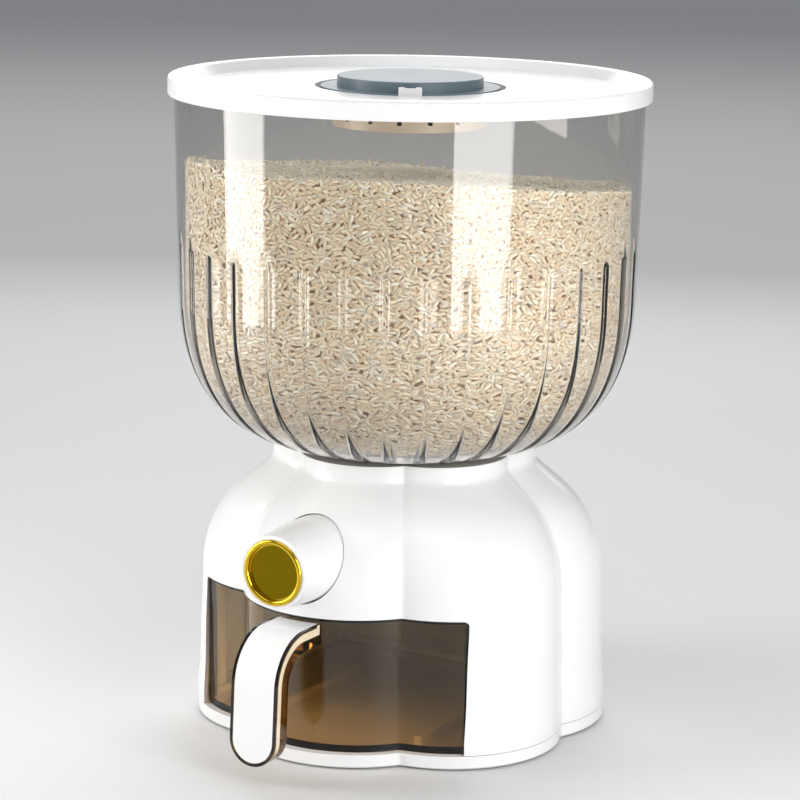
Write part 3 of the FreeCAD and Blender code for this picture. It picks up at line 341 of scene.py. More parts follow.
def grain_material(name, pale, deep):
    """Milled rice: translucent grains, each with its own tone and chalky spots; grains facing up are
    paled by painted light.
    """
    material, graph, place = new_material(name)
    tone = graph.add("ShaderNodeAttribute", {"attribute_name": "tone"}, {}, "Fac")
    top = graph.add("ShaderNodeAttribute", {"attribute_name": "top"}, {}, "Fac")
    chalk = noise(graph, place, 420.0)
    warm = mixed(graph, tone, rgba(deep), rgba(pale))
    white = tuple(min(channel * 1.06 + 0.06, 1.0) for channel in pale)
    tint = mixed(graph, ((chalk - 0.45) * 2.5).clamped() * 0.6, warm, rgba(white))
    chalky = ((tone - 0.86) * 30.0).clamped()
    # Painted light: grains facing up turn towards white, standing in for light on the rice's top;
    # chalky grains are paler by their own tone.
    tint = mixed(graph, (top * 0.9).at_least(chalky), tint, rgba(white))
    surface(graph, principled(graph, {
        "Base Color": tint, "Roughness": (0.36 + chalk * 0.2).clamped(), "IOR": 1.4,
        "Subsurface Weight": 0.85, "Subsurface Radius": (1.0, 0.9, 0.75),
        "Subsurface Scale": 1.4 * MM, "Normal": bump(graph, chalk, 0.10, 0.1 * MM)}))
    return material


def bed_material(name, pale, deep):
    """The rice under the visible grains: their tones dimmed, with small gaps darkened by painted
    shade.
    """
    material, graph, place = new_material(name)
    cells = graph.add("ShaderNodeTexVoronoi", {}, {"Vector": place, "Scale": 480.0}, "Distance")
    spot = noise(graph, place, 240.0, 3.0)
    # Painted shade: the packed rice is dimmed below the grains' tones, and the gaps between cells
    # turn dark brown.
    packed = tuple(0.55 * one + 0.25 * other for one, other in zip(deep, pale))
    shadow = (deep[0] * 0.26, deep[1] * 0.17, deep[2] * 0.1)
    tint = mixed(graph, ((spot - 0.35) * 3.0).clamped(), rgba(packed), rgba(deep))
    tint = mixed(graph, ((cells - 0.52) * 5.0).clamped(), tint, rgba(shadow))
    surface(graph, principled(graph, {
        "Base Color": tint, "Roughness": (0.55 + spot * 0.2).clamped(), "IOR": 1.45,
        "Normal": bump(graph, cells, 0.8, 1.0 * MM)}))
    return material


# ------------ meshes
def new_piece(name, mesh, material=None):
    """An object of the mesh, at the origin."""
    piece = bpy.data.objects.new(name, mesh)
    bpy.context.scene.collection.objects.link(piece)
    if material is not None:
        mesh.materials.clear()
        mesh.materials.append(material)
    return piece


def smooth_mesh(mesh, angle):
    """Smooth shading with sharp edges where faces meet at more than the angle."""
    mesh.polygons.foreach_set("use_smooth", [True] * len(mesh.polygons))
    mesh.set_sharp_from_angle(angle=math.radians(angle))
    mesh.update()


def rings_mesh(name, rings):
    """A mesh through rings of points, each ring closed; rings of one point close a pole."""
    mesh = bpy.data.meshes.new(name)
    points, starts = [], []
    for ring in rings:
        starts.append(len(points))
        points.extend(ring)
    faces = []
    for low in range(len(rings) - 1):
        a, b = starts[low], starts[low + 1]
        count_a, count_b = len(rings[low]), len(rings[low + 1])
        count = max(count_a, count_b)
        for step in range(count):
            following = (step + 1) % count
            if count_a == 1:
                faces.append((a, b + following, b + step))
            elif count_b == 1:
                faces.append((a + step, a + following, b))
            else:
                faces.append((a + step, a + following, b + following, b + step))
    mesh.from_pydata(points, [], faces)
    return outwards(mesh)


def outwards(mesh):
    """Turns all faces of a closed mesh outwards."""
    work = bmesh.new()
    work.from_mesh(mesh)
    bmesh.ops.remove_doubles(work, verts=work.verts, dist=1e-7)
    bmesh.ops.recalc_face_normals(work, faces=work.faces)
    work.to_mesh(mesh)
    work.free()
    return mesh


def ring_about_z(radius, steps, height_at):
    """A ring of points about Z, each as high as its place (x, y) asks."""
    turns = [2.0 * math.pi * step / steps for step in range(steps)]
    places = [(radius * math.cos(turn), radius * math.sin(turn)) for turn in turns]
    return [(x, y, height_at(x, y)) for x, y in places]


def plain_copy(piece):
    """Turns what a piece's modifiers make of it into its own plain mesh."""
    graph = bpy.context.evaluated_depsgraph_get()
    mesh = bpy.data.meshes.new_from_object(piece.evaluated_get(graph))
    piece.modifiers.clear()
    piece.data = mesh
    return piece


# ------------ geometry node trees
def new_tree(name, inputs):
    """A geometry node tree with named inputs. Returns its graph and a wire for each input."""
    tree = bpy.data.node_groups.new(name, "GeometryNodeTree")
    tree.interface.new_socket("Geometry", in_out="OUTPUT", socket_type="NodeSocketGeometry")
    tree.interface.new_socket("Geometry", in_out="INPUT", socket_type="NodeSocketGeometry")
    for label, (kind, value) in inputs.items():
        socket = tree.interface.new_socket(label, in_out="INPUT", socket_type="NodeSocket" + kind)
        socket.default_value = value
    graph = Graph(tree)
    first = graph.add("NodeGroupInput")
    wires = {label: graph.also(first, label) for label in ["Geometry", *inputs]}
    return graph, wires


def end_tree(graph, geometry, material):
    """Ends a tree in plain geometry with its material set."""
    real = graph.add("GeometryNodeRealizeInstances", {}, {"Geometry": geometry})
    done = graph.add("GeometryNodeSetMaterial", {}, {"Geometry": real, "Material": material})
    graph.add("NodeGroupOutput", {}, {"Geometry": done})


def run_tree(piece, graph, values):
    """Runs a tree on a piece with the given inputs, and keeps the result as a plain mesh."""
    modifier = piece.modifiers.new(graph.tree.name, "NODES")
    modifier.node_group = graph.tree
    for item in graph.tree.interface.items_tree:
        if item.in_out == "INPUT" and item.name in values:
            modifier[item.identifier] = values[item.name]
    return plain_copy(piece)


def store(graph, geometry, name, value):
    """Keeps a number of each instance as an attribute."""
    kinds = {"data_type": "FLOAT", "domain": "INSTANCE"}
    return graph.add("GeometryNodeStoreNamedAttribute", kinds, {
        "Geometry": geometry, "Name": name, "Value": value})


def named(graph, name, kind):
    return graph.add("GeometryNodeInputNamedAttribute", {"data_type": kind}, {"Name": name})


# ------------ hopper
def bowl_point(sizes, turn, inset):
    """A point of the bowl's curve, from the waist (0 degrees) to the flat bottom (90)."""
    power = 2.0 / sizes.squareness
    angle = math.radians(turn)
    waist = RIM_RADIUS - sizes.taper
    reach = waist - sizes.bowl_flat - inset
    radius = sizes.bowl_flat + reach * max(math.cos(angle), 0.0) ** power
    height = sizes.bowl_depth - inset
    return radius, sizes.bowl_bottom + sizes.bowl_depth - height * math.sin(angle) ** power


def bowl_turns(steps):
    """Angles down the bowl, closer together at both ends, where its curve turns fastest."""
    return [90.0 * (1.0 - math.cos(math.pi * step / steps)) / 2.0 for step in range(1, steps)]


# Rows of faces down the wall, as shares of the way: close where the flutes begin.
OUTER_WALL_ROWS = (0.015, 0.04, 0.1, 0.3, 0.5, 0.7, 0.78, 0.795, 0.805, 0.815, 0.83, 0.87, 0.93)
INNER_WALL_ROWS = (0.0, 0.05, 0.1, 0.3, 0.5, 0.7, 0.9, 0.96, 0.985, 1.0)
EDGE_SHARE, BEVEL_SHARE = 0.4, 0.3    # the rim's rounding: its size in walls, and its slope
ROUND_OFF, SPOUT_FILLET = 0.5 * MM, 1.0 * MM


def hopper_outline(sizes):
    """The bucket's closed outline of (radius, height), in two parts: from the outside of the rim
    down to the bowl's middle, and from the spout back up the inside."""
    waist = RIM_RADIUS - sizes.taper
    waist_z = sizes.bowl_bottom + sizes.bowl_depth
    edge = EDGE_SHARE * sizes.wall
    bevel = BEVEL_SHARE * edge
    outer = [(RIM_RADIUS - edge, RIM_Z), (RIM_RADIUS - bevel, RIM_Z - bevel),
             (RIM_RADIUS, RIM_Z - edge)]
    drop = RIM_Z - edge - waist_z
    for share in OUTER_WALL_ROWS:
        outer.append((RIM_RADIUS - sizes.taper * share, RIM_Z - edge - drop * share))
    outer.append((waist, waist_z))
    bowl = [bowl_point(sizes, turn, 0.0) for turn in bowl_turns(sizes.rows)]
    skirt_outer, skirt_inner = sizes.skirt_radius, sizes.skirt_radius - sizes.wall
    outside = [point for point in bowl if point[0] > skirt_outer + ROUND_OFF]
    inside = [point for point in bowl if point[0] < skirt_inner - ROUND_OFF]
    outer += outside + [
        (skirt_outer, outside[-1][1] - ROUND_OFF), (skirt_outer, SKIRT_Z + ROUND_OFF),
        (skirt_outer - ROUND_OFF, SKIRT_Z), (skirt_inner + ROUND_OFF, SKIRT_Z),
        (skirt_inner, SKIRT_Z + ROUND_OFF), (skirt_inner, inside[0][1] - ROUND_OFF)]
    outer += inside + [(sizes.bowl_flat, sizes.bowl_bottom)]
    spout = sizes.spout_radius + sizes.spout_wall
    spout_z = sizes.bowl_bottom - sizes.spout_length
    lower = [(spout + SPOUT_FILLET, sizes.bowl_bottom), (spout, sizes.bowl_bottom - SPOUT_FILLET),
             (spout, spout_z), (sizes.spout_radius, spout_z)]
    inner_bottom = sizes.bowl_bottom + sizes.wall
    inner = [(sizes.spout_radius, inner_bottom - SPOUT_FILLET),
             (sizes.spout_radius + SPOUT_FILLET, inner_bottom), (sizes.bowl_flat, inner_bottom)]
    inner += [bowl_point(sizes, turn, sizes.wall) for turn in reversed(bowl_turns(sizes.rows // 2))]
    for share in INNER_WALL_ROWS:
        inner.append((waist - sizes.wall + sizes.taper * share, waist_z + drop * share))
    inner.append((RIM_RADIUS - sizes.wall + bevel, RIM_Z - bevel))
    inner.append((RIM_RADIUS - sizes.wall + edge, RIM_Z))
    return outer, lower + inner


LARGEST_FLUTE = 0.3       # half a flute's angle, as a share of the way to the next one
HOLLOW_POWER = 2.6        # how steeply a flute's sides fall


def fluted_bucket_tree(material):
    """Turns an outline about Z and presses round-ended flutes into its outer side. The outline is
    the host's chain of points, with its inward direction and its distance down the flutes."""
    graph, wires = new_tree("fluted_bucket", {
        "Flutes": ("Int", 36), "Flute Width": ("Float", 4.5 * MM),
        "Flute Depth": ("Float", 1.0 * MM), "Flute Length": ("Float", 0.09),
        "Groove Steps": ("Int", 12), "Land Steps": ("Int", 5), "Outline Points": ("Int", 100)})
    outline = wires["Geometry"]
    period = wires["Groove Steps"] + wires["Land Steps"]
    columns = wires["Flutes"] * period
    grid = graph.add("GeometryNodeMeshGrid", {}, {
        "Size X": 1.0, "Size Y": 1.0, "Vertices X": columns + 1.0,
        "Vertices Y": wires["Outline Points"] + 1.0})
    index = graph.add("GeometryNodeInputIndex")
    rows = wires["Outline Points"] + 1.0    # the last row and column repeat the first ones
    column = (index / rows).floor()
    row = (index % rows) % wires["Outline Points"]

    def sampled(value, kind):
        return graph.add("GeometryNodeSampleIndex", {"data_type": kind, "domain": "POINT"}, {
            "Geometry": outline, "Value": value, "Index": row})

    point = sampled(graph.add("GeometryNodeInputPosition"), "FLOAT_VECTOR")
    radius, _, height = split(graph, point)
    inward = sampled(named(graph, "inward", "FLOAT_VECTOR"), "FLOAT_VECTOR")
    inward_x, _, inward_z = split(graph, inward)
    along = sampled(named(graph, "along", "FLOAT"), "FLOAT")

    flute = (column / period).floor()
    step = column % period
    half_width = wires["Flute Width"] * 0.5
    pitch = (2.0 * math.pi) / wires["Flutes"]
    half_angle = (half_width / radius.at_least(1.0 * MM)).at_most(pitch * LARGEST_FLUTE)
    across = (step / wires["Groove Steps"]) * 2.0 - 1.0
    in_groove = step < (wires["Groove Steps"] + 0.5)
    land = (step - wires["Groove Steps"]) / wires["Land Steps"]
    groove_angle = across * half_angle
    land_angle = half_angle + land * (pitch - half_angle * 2.0)
    local = groove_angle * in_groove + land_angle * (1.0 - in_groove)
    angle = (flute + 0.5) * pitch + local

    past_end = (along - wires["Flute Length"]).at_least(0.0 - along).at_least(0.0)
    sideways = across * half_width
    distance = (sideways * sideways + past_end * past_end).root() / half_width
    hollow = 1.0 - distance.at_most(1.0) ** HOLLOW_POWER
    depth = wires["Flute Depth"] * hollow * in_groove
    far_radius = radius + inward_x * depth
    place = joined(graph, far_radius * angle.cosine(), far_radius * angle.sine(),
                   height + inward_z * depth)
    turned = graph.add("GeometryNodeSetPosition", {}, {"Geometry": grid, "Position": place})
    merged = graph.add("GeometryNodeMergeByDistance", {}, {"Geometry": turned, "Distance": 1e-6})
    end_tree(graph, merged, material)
    return graph


def hopper_piece(sizes, material):
    """The clear bucket with its flutes."""
    outer, rest = hopper_outline(sizes)
    chain = outer + rest
    count = len(chain)
    mesh = bpy.data.meshes.new("hopper_outline")
    mesh.from_pydata([(radius, 0.0, height) for radius, height in chain],
                     [(step, (step + 1) % count) for step in range(count)], [])
    mesh.attributes.new("inward", "FLOAT_VECTOR", "POINT")
    mesh.attributes.new("along", "FLOAT", "POINT")
    inward, along = mesh.attributes["inward"], mesh.attributes["along"]
    start_z = sizes.bowl_bottom + sizes.bowl_depth + sizes.flute_rise
    travelled, length = -1.0, 0.0
    for step in range(count):
        before, after = chain[step - 1], chain[(step + 1) % count]
        slope = Vector((after[0] - before[0], after[1] - before[1])).normalized()
        inward.data[step].vector = (slope.y, 0.0, -slope.x)
        is_fluted = step < len(outer) and chain[step][1] < start_z + 0.5 * sizes.flute_width
        if is_fluted:
            piece_length = math.dist(chain[step], chain[step - 1])
            travelled = start_z - chain[step][1] if travelled == -1.0 else travelled + piece_length
            if chain[step][0] > sizes.flute_end:
                length = travelled
        along.data[step].value = travelled if is_fluted else -1.0
    bucket = new_piece("hopper_bucket", mesh)
    graph = fluted_bucket_tree(material)
    run_tree(bucket, graph, {
        "Flutes": sizes.flutes, "Flute Width": sizes.flute_width, "Flute Depth": sizes.flute_depth,
        "Flute Length": length, "Groove Steps": sizes.groove_steps, "Land Steps": sizes.land_steps,
        "Outline Points": count})
    outwards(bucket.data)
    smooth_mesh(bucket.data, 50.0)
    return bucket


# ------------ rice
GRAIN_THICKNESS = 0.58       # a grain's thickness as a share of its width
HIDDEN_RADIUS = 52.0 * MM    # the bowl's bottom within this radius stands on the neck
RICE_STEPS, BOWL_ROWS = 180, 24    # points round the body of the rice, and rows up its bowl
# Rings of the body: as shares of the way up the wall, and of the radius over the top.
WALL_RINGS = (0.0, 0.2, 0.4, 0.6, 0.8, 1.0)
TOP_RINGS = (0.985, 0.95, 0.9, 0.8, 0.7, 0.6, 0.5, 0.4, 0.3, 0.2, 0.1)


def rice_level(sizes, x, y):
    """Height of the rice at a place: a tilted surface, heaped by crossing waves."""
    return (sizes.level + sizes.tilt_x * x + sizes.tilt_y * y
            + sizes.heap * (math.sin(38.0 * x + 1.3) * math.cos(31.0 * y - 0.4)
                            + 0.5 * math.sin(71.0 * x - 57.0 * y)))


def rice_bed_rings(hopper, sizes):
    """Rings of the rice body: up the bowl and wall, then over the top to its middle."""
    gap = hopper.wall + sizes.wall_gap
    floor_z = hopper.bowl_bottom + gap
    outline = [(hopper.bowl_flat * share, floor_z) for share in (0.5, 1.0)]
    outline += [bowl_point(hopper, turn, gap) for turn in reversed(bowl_turns(BOWL_ROWS))]
    rings = [[(0.0, 0.0, floor_z)]]
    rings += [ring_about_z(radius, RICE_STEPS, lambda x, y, height=height: height)
              for radius, height in outline]
    waist_z = hopper.bowl_bottom + hopper.bowl_depth
    radius = RIM_RADIUS - hopper.taper - gap

    def top(x, y):
        return rice_level(sizes, x, y)

    for share in WALL_RINGS:
        rings.append(ring_about_z(
            radius, RICE_STEPS, lambda x, y: waist_z + (top(x, y) - waist_z) * share))
    for share in TOP_RINGS:
        rings.append(ring_about_z(radius * share, RICE_STEPS, top))
    rings.append([(0.0, 0.0, top(0.0, 0.0))])
    return rings


def grain_tree(material):
    """Covers the host's faces with grains that lie on them, each turned and sized at random."""
    graph, wires = new_tree("grain_cover", {
        "Spacing": ("Float", 1.9 * MM), "Grain Length": ("Float", 5.6 * MM),
        "Grain Width": ("Float", 1.8 * MM), "Tilt": ("Float", 0.17), "Rise": ("Float", 0.5 * MM),
        "Seed": ("Int", 1)})
    points = graph.add("GeometryNodeDistributePointsOnFaces", {"distribute_method": "POISSON"}, {
        "Mesh": wires["Geometry"], "Distance Min": wires["Spacing"], "Density Max": 1e6,
        "Seed": wires["Seed"]})
    normal = graph.also(points, "Normal")
    level = graph.add("ShaderNodeVectorMath", {"operation": "CROSS_PRODUCT"}, {
        0: (0.0, 0.0, 1.0), 1: normal})
    upright = graph.add("FunctionNodeAlignRotationToVector", {"axis": "Z"}, {"Vector": normal})
    upright = graph.add("FunctionNodeAlignRotationToVector", {"axis": "X", "pivot_axis": "Z"}, {
        "Rotation": upright, "Vector": level})

    def random_number(low, high, seed):
        return graph.add("FunctionNodeRandomValue", {"data_type": "FLOAT"}, {
            2: low, 3: high, "Seed": wires["Seed"] + float(seed)}, 1)

    lift = graph.add("ShaderNodeVectorMath", {"operation": "SCALE"}, {
        0: normal, "Scale": random_number(-0.5, 1.0, 11) * wires["Rise"]})
    raised = graph.add("GeometryNodeSetPosition", {}, {"Geometry": points, "Offset": lift})
    lean = random_number(-1.0, 1.0, 12) * wires["Tilt"]
    side, amount = random_number(-1.0, 1.0, 13), random_number(0.0, 1.0, 18)
    spin = side * amount.root() * (0.5 * math.pi)    # most grains lie nearly level
    turned = graph.add("FunctionNodeRotateRotation", {"rotation_space": "LOCAL"}, {
        "Rotation": upright, "Rotate By": joined(graph, 0.0, lean, spin)})

    ball = graph.add("GeometryNodeMeshUVSphere", {}, {"Segments": 5, "Rings": 4, "Radius": 0.5})
    lying = graph.add("GeometryNodeTransform", {}, {
        "Geometry": ball, "Rotation": (0.0, math.pi / 2.0, 0.0)})
    flat = joined(graph, wires["Grain Length"], wires["Grain Width"],
                  wires["Grain Width"] * GRAIN_THICKNESS)
    grain = graph.add("GeometryNodeTransform", {}, {"Geometry": lying, "Scale": flat})
    size = joined(graph, random_number(0.7, 1.15, 14), random_number(0.8, 1.05, 15),
                  random_number(0.8, 1.1, 16))
    grains = graph.add("GeometryNodeInstanceOnPoints", {}, {
        "Points": raised, "Instance": grain, "Rotation": turned, "Scale": size})
    toned = store(graph, grains, "tone", random_number(0.0, 1.0, 17))
    # How far each grain faces up, kept for the painted light on the rice's top.
    _, _, rise = split(graph, normal)
    toned = store(graph, toned, "top", rise.clamped())
    real = graph.add("GeometryNodeRealizeInstances", {}, {"Geometry": toned})
    smooth = graph.add("GeometryNodeSetShadeSmooth", {}, {"Geometry": real})
    end_tree(graph, smooth, material)
    return graph


def bed_faces(name, bed, wanted):
    """A mesh of the bed's faces whose middle passes the test."""
    work = bmesh.new()
    work.from_mesh(bed.data)
    dropped = [face for face in work.faces if not wanted(face.calc_center_median(), face.normal)]
    bmesh.ops.delete(work, geom=dropped, context="FACES")
    mesh = bpy.data.meshes.new(name)
    work.to_mesh(mesh)
    work.free()
    return mesh


def sector_test(index, count):
    """A test for faces of the bed's side and top within one of several equal sectors."""
    def wanted(middle, normal):
        turn = (math.atan2(middle.y, middle.x) / (2.0 * math.pi)) % 1.0
        hidden = normal.z < 0.0 and math.hypot(middle.x, middle.y) < HIDDEN_RADIUS
        return int(turn * count) == index and not hidden
    return wanted


# ------------ settings
class HopperSizes(bpy.types.PropertyGroup):
    """Sizes of the clear bucket."""
    wall: FloatProperty(
        name="Wall", description="Thickness of the wall", default=2.8 * MM, unit="LENGTH")
    taper: FloatProperty(
        name="Taper", description="How much smaller the radius is at the waist", default=2.0 * MM,
        unit="LENGTH")
    bowl_bottom: FloatProperty(
        name="Bowl Bottom", description="Height of the underside of the bowl",
        default=NECK_TOP + 0.2 * MM, unit="LENGTH")
    bowl_depth: FloatProperty(
        name="Bowl Depth", description="Height of the rounded part", default=83.7 * MM,
        unit="LENGTH")
    bowl_flat: FloatProperty(
        name="Flat Radius", description="Radius of the bowl's flat bottom", default=42.7 * MM,
        unit="LENGTH")
    squareness: FloatProperty(
        name="Squareness", description="2 is an ellipse, more is fuller", default=2.43)
    spout_radius: FloatProperty(
        name="Spout Radius", description="Inner radius of the spout", default=24.0 * MM,
        unit="LENGTH")
    spout_wall: FloatProperty(
        name="Spout Wall", description="Thickness of the spout", default=2.4 * MM, unit="LENGTH")
    spout_length: FloatProperty(
        name="Spout Length", description="From the bowl down to the spout's end", default=8.0 * MM,
        unit="LENGTH")
    skirt_radius: FloatProperty(
        name="Skirt Radius", description="Outer radius of the skirt that sits in the neck",
        default=56.5 * MM, unit="LENGTH")
    flutes: IntProperty(name="Flutes", description="Number of flutes round the bowl", default=36)
    flute_width: FloatProperty(
        name="Flute Width", description="Width of a flute", default=4.5 * MM, unit="LENGTH")
    flute_depth: FloatProperty(
        name="Flute Depth", description="Depth of a flute", default=1.0 * MM, unit="LENGTH")
    flute_rise: FloatProperty(
        name="Flute Rise", description="How far above the waist the flutes begin",
        default=18.9 * MM, unit="LENGTH")
    flute_end: FloatProperty(
        name="Flute End", description="Radius at which the flutes end", default=70.0 * MM,
        unit="LENGTH")
    rows: IntProperty(
        name="Rows", description="Rows of faces down the outside of the bowl", default=56)
    groove_steps: IntProperty(name="Groove Steps", description="Faces across a flute", default=12)
    land_steps: IntProperty(name="Land Steps", description="Faces between two flutes", default=5)


class HandleSizes(bpy.types.PropertyGroup):
    """Where the bent handle's frame lies, for the painted shade on its rim."""
    bend_y: FloatProperty(
        name="Bend Y", description="How far in front of the axis the bend's middle is",
        default=115.7 * MM, unit="LENGTH")
    bend_z: FloatProperty(
        name="Bend Z", description="Height of the bend's middle", default=47.5 * MM, unit="LENGTH")
    bend: FloatProperty(
        name="Bend", description="Outer radius of the bend", default=25.5 * MM, unit="LENGTH")
    lean: FloatProperty(
        name="Lean", description="How far the handle leans forwards", default=math.radians(3.2),
        subtype="ANGLE")
    tip_centre: FloatProperty(
        name="Tip Centre", description="Height of the middle of the round tip", default=22.7 * MM,
        unit="LENGTH")
    # Rim Start and Rim Depth place the painted shade on the frame's rim.
    rim_start: FloatProperty(
        name="Rim Start", description="From the handle's middle line out to its dark rim",
        default=11.5 * MM, unit="LENGTH")
    rim_depth: FloatProperty(
        name="Rim Depth", description="Depth of the dark rim", default=1.2 * MM, unit="LENGTH")


class RiceSizes(bpy.types.PropertyGroup):
    """The rice in the hopper."""
    wall_gap: FloatProperty(
        name="Wall Gap", description="From the bucket's inside to the body of the rice",
        default=1.9 * MM, unit="LENGTH")
    level: FloatProperty(
        name="Level", description="Height of the rice in the middle", default=0.2818, unit="LENGTH")
    tilt_x: FloatProperty(
        name="Tilt X", description="Rise of the surface towards +X", default=0.0074)
    tilt_y: FloatProperty(
        name="Tilt Y", description="Rise of the surface towards +Y", default=-0.0986)
    heap: FloatProperty(
        name="Heap", description="Height of the uneven heaps", default=1.6 * MM, unit="LENGTH")
    grain_length: FloatProperty(
        name="Grain Length", description="Length of a grain", default=5.2 * MM, unit="LENGTH")
    grain_width: FloatProperty(
        name="Grain Width", description="Width of a grain", default=2.1 * MM, unit="LENGTH")
    spacing: FloatProperty(
        name="Spacing", description="Smallest distance between the middles of two grains",
        default=1.75 * MM, unit="LENGTH")
    sectors: IntProperty(
        name="Sectors", description="Parts that the grains are split into", default=6)
    seed: IntProperty(name="Seed", description="Seed of the grains' places", default=7)
    pale: FloatVectorProperty(
        name="Pale", description="Colour of the palest grains", subtype="COLOR", size=3,
        default=(0.88, 0.775, 0.60))
    deep: FloatVectorProperty(
        name="Deep", description="Colour of the deepest grains", subtype="COLOR", size=3,
        default=(0.72, 0.56, 0.40))


class FinishColours(bpy.types.PropertyGroup):
    """Colours of the plastics and metals."""
    white: FloatVectorProperty(
        name="White", description="Glossy white plastic", subtype="COLOR", size=3,
        default=(0.82, 0.82, 0.815))
    inner: FloatVectorProperty(
        name="Inner", description="Plastic of the works inside", subtype="COLOR", size=3,
        default=(0.72, 0.72, 0.70))
    grey_blue: FloatVectorProperty(
        name="Grey Blue", description="Plastic of the cap", subtype="COLOR", size=3,
        default=(0.13, 0.175, 0.20))
    box: FloatVectorProperty(
        name="Box", description="Warm white plastic of the desiccant box", subtype="COLOR", size=3,
        default=(0.62, 0.53, 0.42))
    gold: FloatVectorProperty(
        name="Gold", description="Plating of the button's face", subtype="COLOR", size=3,
        default=(0.68, 0.46, 0.03))
    olive: FloatVectorProperty(
        name="Olive", description="Darker gold of the button's disc", subtype="COLOR", size=3,
        default=(0.21, 0.145, 0.004))
    smoked: FloatVectorProperty(
        name="Smoked", description="Tint of the drawer's plastic", subtype="COLOR", size=3,
        default=(0.76, 0.56, 0.14))
    smoked_density: FloatProperty(
        name="Smoked Density", description="How fast the drawer's tint deepens", default=180.0)
    clear: FloatVectorProperty(
        name="Clear", description="Tint of the bucket's plastic", subtype="COLOR", size=3,
        default=(0.80, 0.785, 0.76))
    clear_density: FloatProperty(
        name="Clear Density", description="How fast the bucket's tint deepens", default=290.0)
    steel: FloatVectorProperty(
        name="Steel", description="Screws, pin and spring", subtype="COLOR", size=3,
        default=(0.62, 0.62, 0.63))


class StudioSettings(bpy.types.PropertyGroup):
    """Floor, lamps and camera."""
    azimuth: FloatProperty(
        name="Azimuth", description="Camera's bearing, from -Y towards +X", subtype="ANGLE",
        default=math.radians(30.106))
    elevation: FloatProperty(
        name="Elevation", description="Camera's angle above the horizon", subtype="ANGLE",
        default=math.radians(12.020))
    roll: FloatProperty(
        name="Roll", description="Camera's lean", subtype="ANGLE", default=math.radians(0.894))
    distance: FloatProperty(
        name="Distance", description="From the camera to the point it looks at", default=1.4742,
        unit="LENGTH")
    aside: FloatProperty(
        name="Aside", description="How far to the right of the axis it looks", default=-2.758 * MM,
        unit="LENGTH")
    height: FloatProperty(
        name="Height", description="Height of the point it looks at", default=0.1656, unit="LENGTH")
    lens: FloatProperty(name="Lens", description="Focal length", default=129.0, unit="CAMERA")
    key: FloatProperty(name="Key", description="Power of the key lamp", default=7.0, unit="POWER")
    side: FloatProperty(name="Side", description="Power of the side lamp", default=8.2, unit="POWER")
    back: FloatProperty(name="Back", description="Power of the back lamp", default=3.6, unit="POWER")
    top: FloatProperty(name="Top", description="Power of the top lamp", default=6.8, unit="POWER")
    far: FloatProperty(name="Far", description="Power of the far lamp", default=32.0, unit="POWER")
    sky: FloatProperty(name="Sky", description="Strength of the room's light", default=0.32)
    floor: FloatVectorProperty(
        name="Floor", description="Colour of the floor", subtype="COLOR", size=3,
        default=(0.68, 0.68, 0.675))


def settings():
    return bpy.context.scene.dispenser


class DispenserSettings(bpy.types.PropertyGroup):
    """All sizes and colours of the dispenser's looks."""
    hopper: PointerProperty(type=HopperSizes, name="Hopper", description="Bucket")
    rice: PointerProperty(type=RiceSizes, name="Rice", description="Contents")
    handle: PointerProperty(type=HandleSizes, name="Handle", description="Handle")
    colours: PointerProperty(type=FinishColours, name="Colours", description="Finishes")
    studio: PointerProperty(type=StudioSettings, name="Studio", description="Stage")


def dress(material, *nodes):
    """Gives CAD nodes a material."""
    for node in nodes:
        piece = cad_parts[node]
        for slot in piece.material_slots:
            slot.material = material


# ------------ operators
FLOOR_REACH = 6.0
SENSOR_WIDTH = 36.0
ROOM_COLOUR = (0.93, 0.95, 1.0)
GREY_RUBBER, SOFT_SILICONE = (0.045, 0.045, 0.047), (0.62, 0.63, 0.62)
# Name, bearing from the camera's in degrees, distance, height, the lamp's own width and height,
# and colour. Their powers are in the studio's settings.
LAMPS = (
    ("key", -83.0, 0.9, 0.36, 0.42, 0.74, (1.0, 0.99, 0.97)),
    ("side", 34.0, 1.0, 0.36, 0.52, 0.74, (1.0, 1.0, 1.0)),
    ("back", 176.0, 1.2, 0.64, 1.4, 0.5, (1.0, 1.0, 1.0)),
    ("top", -20.0, 0.5, 1.6, 1.4, 1.4, (1.0, 1.0, 1.0)),
    ("far", 180.0, 2.6, 2.4, 3.0, 2.0, (1.0, 1.0, 1.0)),
)


